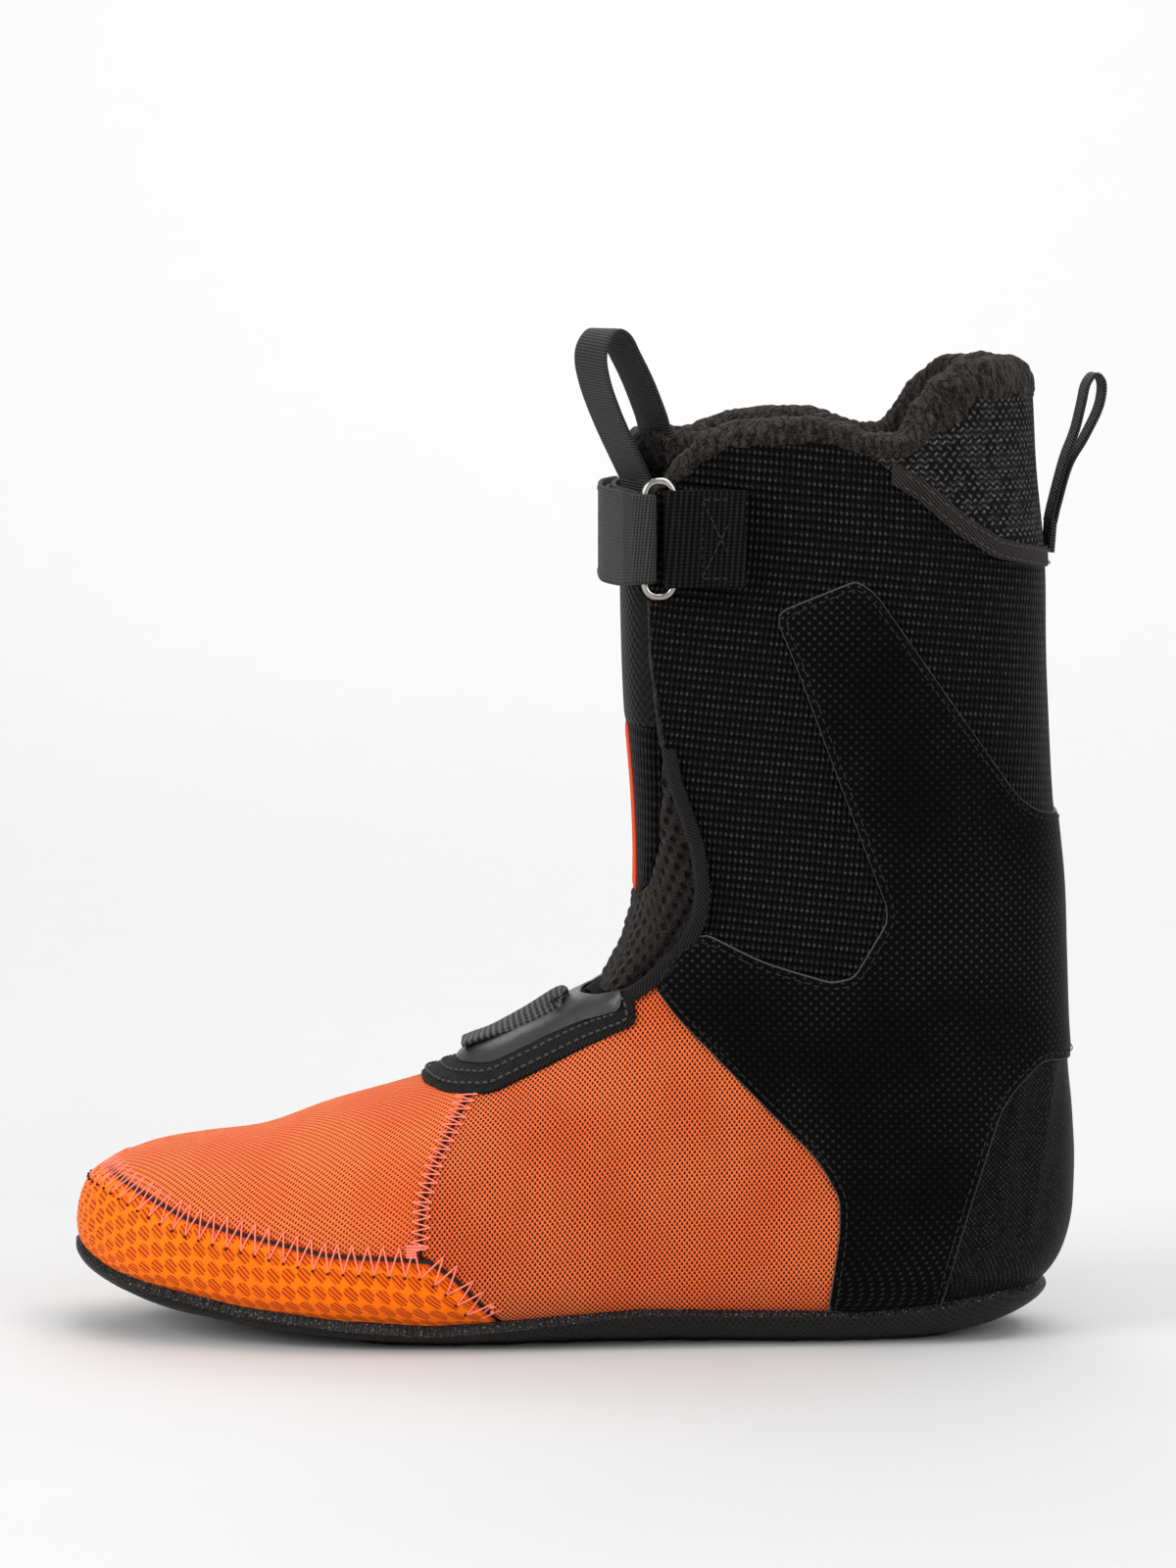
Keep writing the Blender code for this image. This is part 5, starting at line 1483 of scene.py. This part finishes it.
def build_stitches(looks):
    rand_stitches(looks)
    vamp_stitches(looks)
    bartacks(looks)
    lines = film_patch.contour(film_patch.depth_in(FILM) + 2.0)
    made = sewn_lines(lines, GAP + OVERLAY + 0.02, 1.9, 0.9)
    threads("overlay_stitches", made, 0.2, looks["film_thread"], "black_film", bow=0.05)
    made = []
    for rise in (-2.0, 1.6):
        lines = back_patch.contour(back_patch.rise_over(SPOILER_LINE) - rise)
        made += sewn_lines([line[line[:, 0] > 86] for line in lines], GAP + 1.15, 1.8, 0.9)
    threads("collar_stitches", made, 0.2, looks["dark_thread"], "binding_tape", bow=0.05)
    made = []
    patch = upper.within(PATCH_OUTLINE)
    for inset in (1.5, 4.1):
        lines = patch.contour(patch.depth_in(PATCH_OUTLINE) + inset)
        made += sewn_lines(lines, GAP + 1.5, 1.7, 0.7)
    threads("instep_stitches", made, 0.42, looks["dark_thread"], "webbing", bow=0.2)


def rand_stitches(looks):
    """Zigzag over the rand's seam, and a dark hole at each stitch's lower end."""
    lines = []
    for inset in (4.4, -3.8):
        rows = towards(last.contour(last.depth_in(RAND) + inset)[0], lambda row: row[1])
        lines.append(rows[rows[:, 2] > height_on(SOLE_TOP, rows[:, 0]) + 0.5])
    made = zigzag(*lines, 0.5, 4.3)
    threads("rand_stitches", made, 0.24, looks["salmon"], "orange_mesh", bow=0.3)
    pricks = []
    for start, end, normal in made[::2]:
        pricks.append((start, start + (start - end) / np.linalg.norm(start - end) * 0.8, normal))
    threads("rand_pricks", pricks, 0.42, looks["needle_hole"], "orange_mesh")


def vamp_stitches(looks):
    """Zigzag over the seam between the toe panel and each side panel."""
    made = []
    for side in (-1, 1):
        half = past_middle(side)
        lines = []
        for inset in (2.7, -2.7):
            rows = towards(half.contour(half.depth_in(TOE_SIDE) + inset)[0], lambda row: row[2])
            lines.append(rows[(rows[:, 2] > 29) & (rows[:, 2] < 74.5)])
        made += zigzag(*lines, 0.45, 2.7)
    threads("vamp_stitches", made, 0.24, looks["salmon"], "orange_mesh", bow=0.2)


def bartacks(looks):
    """Dense bars of thread where the seams meet."""
    made = []
    pitch, lift = 0.75, 0.6
    for x, z, width, count in ((-48.5, 30.3, 7.0, 5), (-27.5, 13.5, 5.0, 4)):
        for k in range(count):
            for side in (-1, 1):
                half = past_middle(side)
                level = half.contour(half.z - z - (k - count / 2) * pitch)[0]
                level = level[np.abs(level[:, 0] - x) < width / 2]
                if len(level) > 1:
                    ends = [row[PLACE] + row[NORMAL] * lift for row in (level[0], level[-1])]
                    made.append((*ends, level[0, NORMAL]))
    threads("bartacks", made, 0.34, looks["salmon"], "orange_mesh", bow=0.15)


# ---------------------------------------------------------------- studio, in metres
# Area lights: name, place, aim, size, power.
LIGHTS = [
    ("key", (-1.5, -1.0, 1.0), (0, 0, 0.08), 1.0, 19),
    ("low", (-1.5, -0.5, 0.4), (-0.2, 0, 0.0), 0.9, 4),
    ("fill", (1.4, -1.6, 1.1), (0.1, 0, 0.0), 1.4, 17),
    ("top", (0.6, 0.0, 2.0), (0.35, 0, 0.0), 1.8, 25),
    ("backdrop", (0.0, 2.6, 2.2), (0, 2.8, 0.0), 2.4, 54),
]
WORLD_LIGHT = 0.53
WORLD_SEEN_EXTRA = 0.37  # the background looks brighter to the camera than it lights the liner
CAMERA_AIM_Z = 0.1565
CAMERA_TILT = math.radians(5.5)
CAMERA_DISTANCE = 1.7
LENS = 136.6
FLOOR_END, FLOOR_CURVE, FLOOR_HALF = 2.0, 1.5, 5.0


def aimed(name, data, place_at, aim):
    """Link a light or camera that looks from a place to a point."""
    obj = bpy.data.objects.new(name, data)
    obj.location = place_at
    obj.rotation_euler = (Vector(aim) - obj.location).to_track_quat("-Z", "Y").to_euler()
    bpy.context.scene.collection.objects.link(obj)
    return obj


def build_world():
    world = bpy.data.worlds.new("studio")
    bpy.context.scene.world = world
    world.use_nodes = True
    nodes, links = world.node_tree.nodes, world.node_tree.links
    seen = nodes.new("ShaderNodeLightPath").outputs["Is Camera Ray"]
    strength = nodes.new("ShaderNodeMath")
    strength.operation = "MULTIPLY_ADD"
    strength.inputs[1].default_value = WORLD_SEEN_EXTRA
    strength.inputs[2].default_value = WORLD_LIGHT
    links.new(seen, strength.inputs[0])
    links.new(strength.outputs[0], nodes["Background"].inputs["Strength"])
    nodes["Background"].inputs["Color"].default_value = (1, 1, 1, 1)


def build_floor():
    """A paper floor that rises into a backdrop."""
    profile = [(-3.0, 0.0), (FLOOR_END, 0.0)]
    for a in np.linspace(0.1, math.pi / 2, 16):
        profile.append((FLOOR_END + FLOOR_CURVE * math.sin(a), FLOOR_CURVE - FLOOR_CURVE * math.cos(a)))
    profile.append((FLOOR_END + FLOOR_CURVE, 5.0))
    points = [(x, y, z) for y, z in profile for x in (-FLOOR_HALF, FLOOR_HALF)]
    faces = [[2 * k, 2 * k + 1, 2 * k + 3, 2 * k + 2] for k in range(len(profile) - 1)]
    mesh = bpy.data.meshes.new("floor")
    mesh.from_pydata(points, [], faces)
    floor = bpy.data.objects.new("floor", mesh)
    look = Look("floor_paper")
    paper = look.mix(look.noise(40.0), (0.615, 0.615, 0.618), (0.623, 0.623, 0.625))
    mesh.materials.append(look.done(paper, 0.9))
    mesh.shade_smooth()
    bpy.context.scene.collection.objects.link(floor)


def build_studio():
    scene = bpy.context.scene
    scene.view_settings.view_transform = "Standard"
    build_world()
    centre = Vector((ORIGIN[0] * MM, ORIGIN[1] * MM, CAMERA_AIM_Z))
    camera = bpy.data.cameras.new("camera")
    camera.sensor_width = 36
    camera.lens = LENS
    back = Vector((0, -math.cos(CAMERA_TILT), math.sin(CAMERA_TILT))) * CAMERA_DISTANCE
    scene.camera = aimed("camera", camera, centre + back, centre)
    build_floor()
    for name, place_at, aim, size, power in LIGHTS:
        lamp = bpy.data.lights.new(name, "AREA")
        lamp.size = size
        lamp.energy = power
        aimed(name, lamp, place_at, aim)


# ---------------------------------------------------------------- run
def all_looks():
    return {
        "toe_mesh": orange_mesh(
            "toe_mesh", 1.5, 1.7, (1.0, 0.205, 0.052), (0.17, 0.016, 0.005), (0.93, 0.145, 0.032), 0.1
        ),
        "side_mesh": orange_mesh(
            "side_mesh", 1.4, 1.9, (1.0, 0.205, 0.053), (0.05, 0.005, 0.003), (0.94, 0.145, 0.034), -0.1
        ),
        "strip": orange_mesh(
            "strip_mesh", 1.4, 1.4, (1.0, 0.10, 0.008), (0.3, 0.02, 0.004), (0.95, 0.08, 0.006), 0.3
        ),
        "rand": rand_cloth(),
        "cuff_mesh": spacer_mesh("cuff_spacer_mesh", 1.55, 2.4, (0.062, 0.062, 0.060), 1.0),
        "tongue_mesh": spacer_mesh("tongue_spacer_mesh", 1.6, 3.0, grey(0.03), 0.9),
        "open_mesh": open_mesh(),
        "film": film(),
        "cut_edge": thread("cut_edge", (0.10, 0.10, 0.095), (0.22, 0.21, 0.20)),
        "heel": tight_weave("heel_weave", 1.5, grey(0.0008), (0.036, 0.036, 0.035)),
        "panel": tight_weave("panel_weave", 3.0, grey(0.0020), grey(0.010)),
        "hooks": tight_weave("hook_pile", 1.0, grey(0.01), grey(0.04)),
        "bed": tight_weave("bed_cloth", 1.2, (0.03, 0.03, 0.032), (0.08, 0.08, 0.085)),
        "tape": tape("twill_tape", (0.0030, 0.0028, 0.0027), (0.027, 0.0255, 0.0245)),
        "webbing": webbing("webbing", 0.85, 0.9, (0.010, 0.0103, 0.0098), (0.062, 0.063, 0.060)),
        "anchor_webbing": webbing(
            "anchor_webbing", 1.6, 1.05, (0.0015, 0.0015, 0.0014), (0.0135, 0.0135, 0.0128), 0.04
        ),
        # Painted light: a lighter copy of the webbing for the loop on the instep.
        "loop_webbing_lit_copy": webbing("loop_webbing_lit_copy", 1.8, 1.1, (0.014, 0.014, 0.0133), (0.115, 0.115, 0.110)),
        "leather": leather(),
        "fleece": fleece(),
        "waffle": waffle_fleece(),
        "foam": foam(),
        "board": fibre_board(),
        "moulded": moulded(),
        "sole": sole_rubber(),
        "salmon": thread("salmon_thread", (0.95, 0.16, 0.09), (1.0, 0.36, 0.26)),
        "dark_thread": thread("dark_thread", (0.030, 0.0295, 0.028), (0.085, 0.083, 0.079)),
        "film_thread": thread("film_thread", (0.010, 0.010, 0.0095), (0.034, 0.033, 0.031)),
        "needle_hole": thread("needle_hole", (0.03, 0.006, 0.004), (0.06, 0.01, 0.006)),
        "collar_tape": tape("collar_tape", (0.012, 0.0105, 0.010), (0.080, 0.071, 0.066)),
        "steel": steel(),
    }


build_studio()
looks = all_looks()
build_covers(looks)
build_inside(looks)
build_sole(looks)
build_collar(looks)
build_tapes(looks)
build_instep(looks)
build_tongue(looks)
crossing = build_strap(looks)
build_loops(looks)
build_stitches(looks)
# The strap and its stitches stretch from the shell's sides to the tongue; their places are baked into their
# meshes.
for piece in crossing:
    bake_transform(piece)
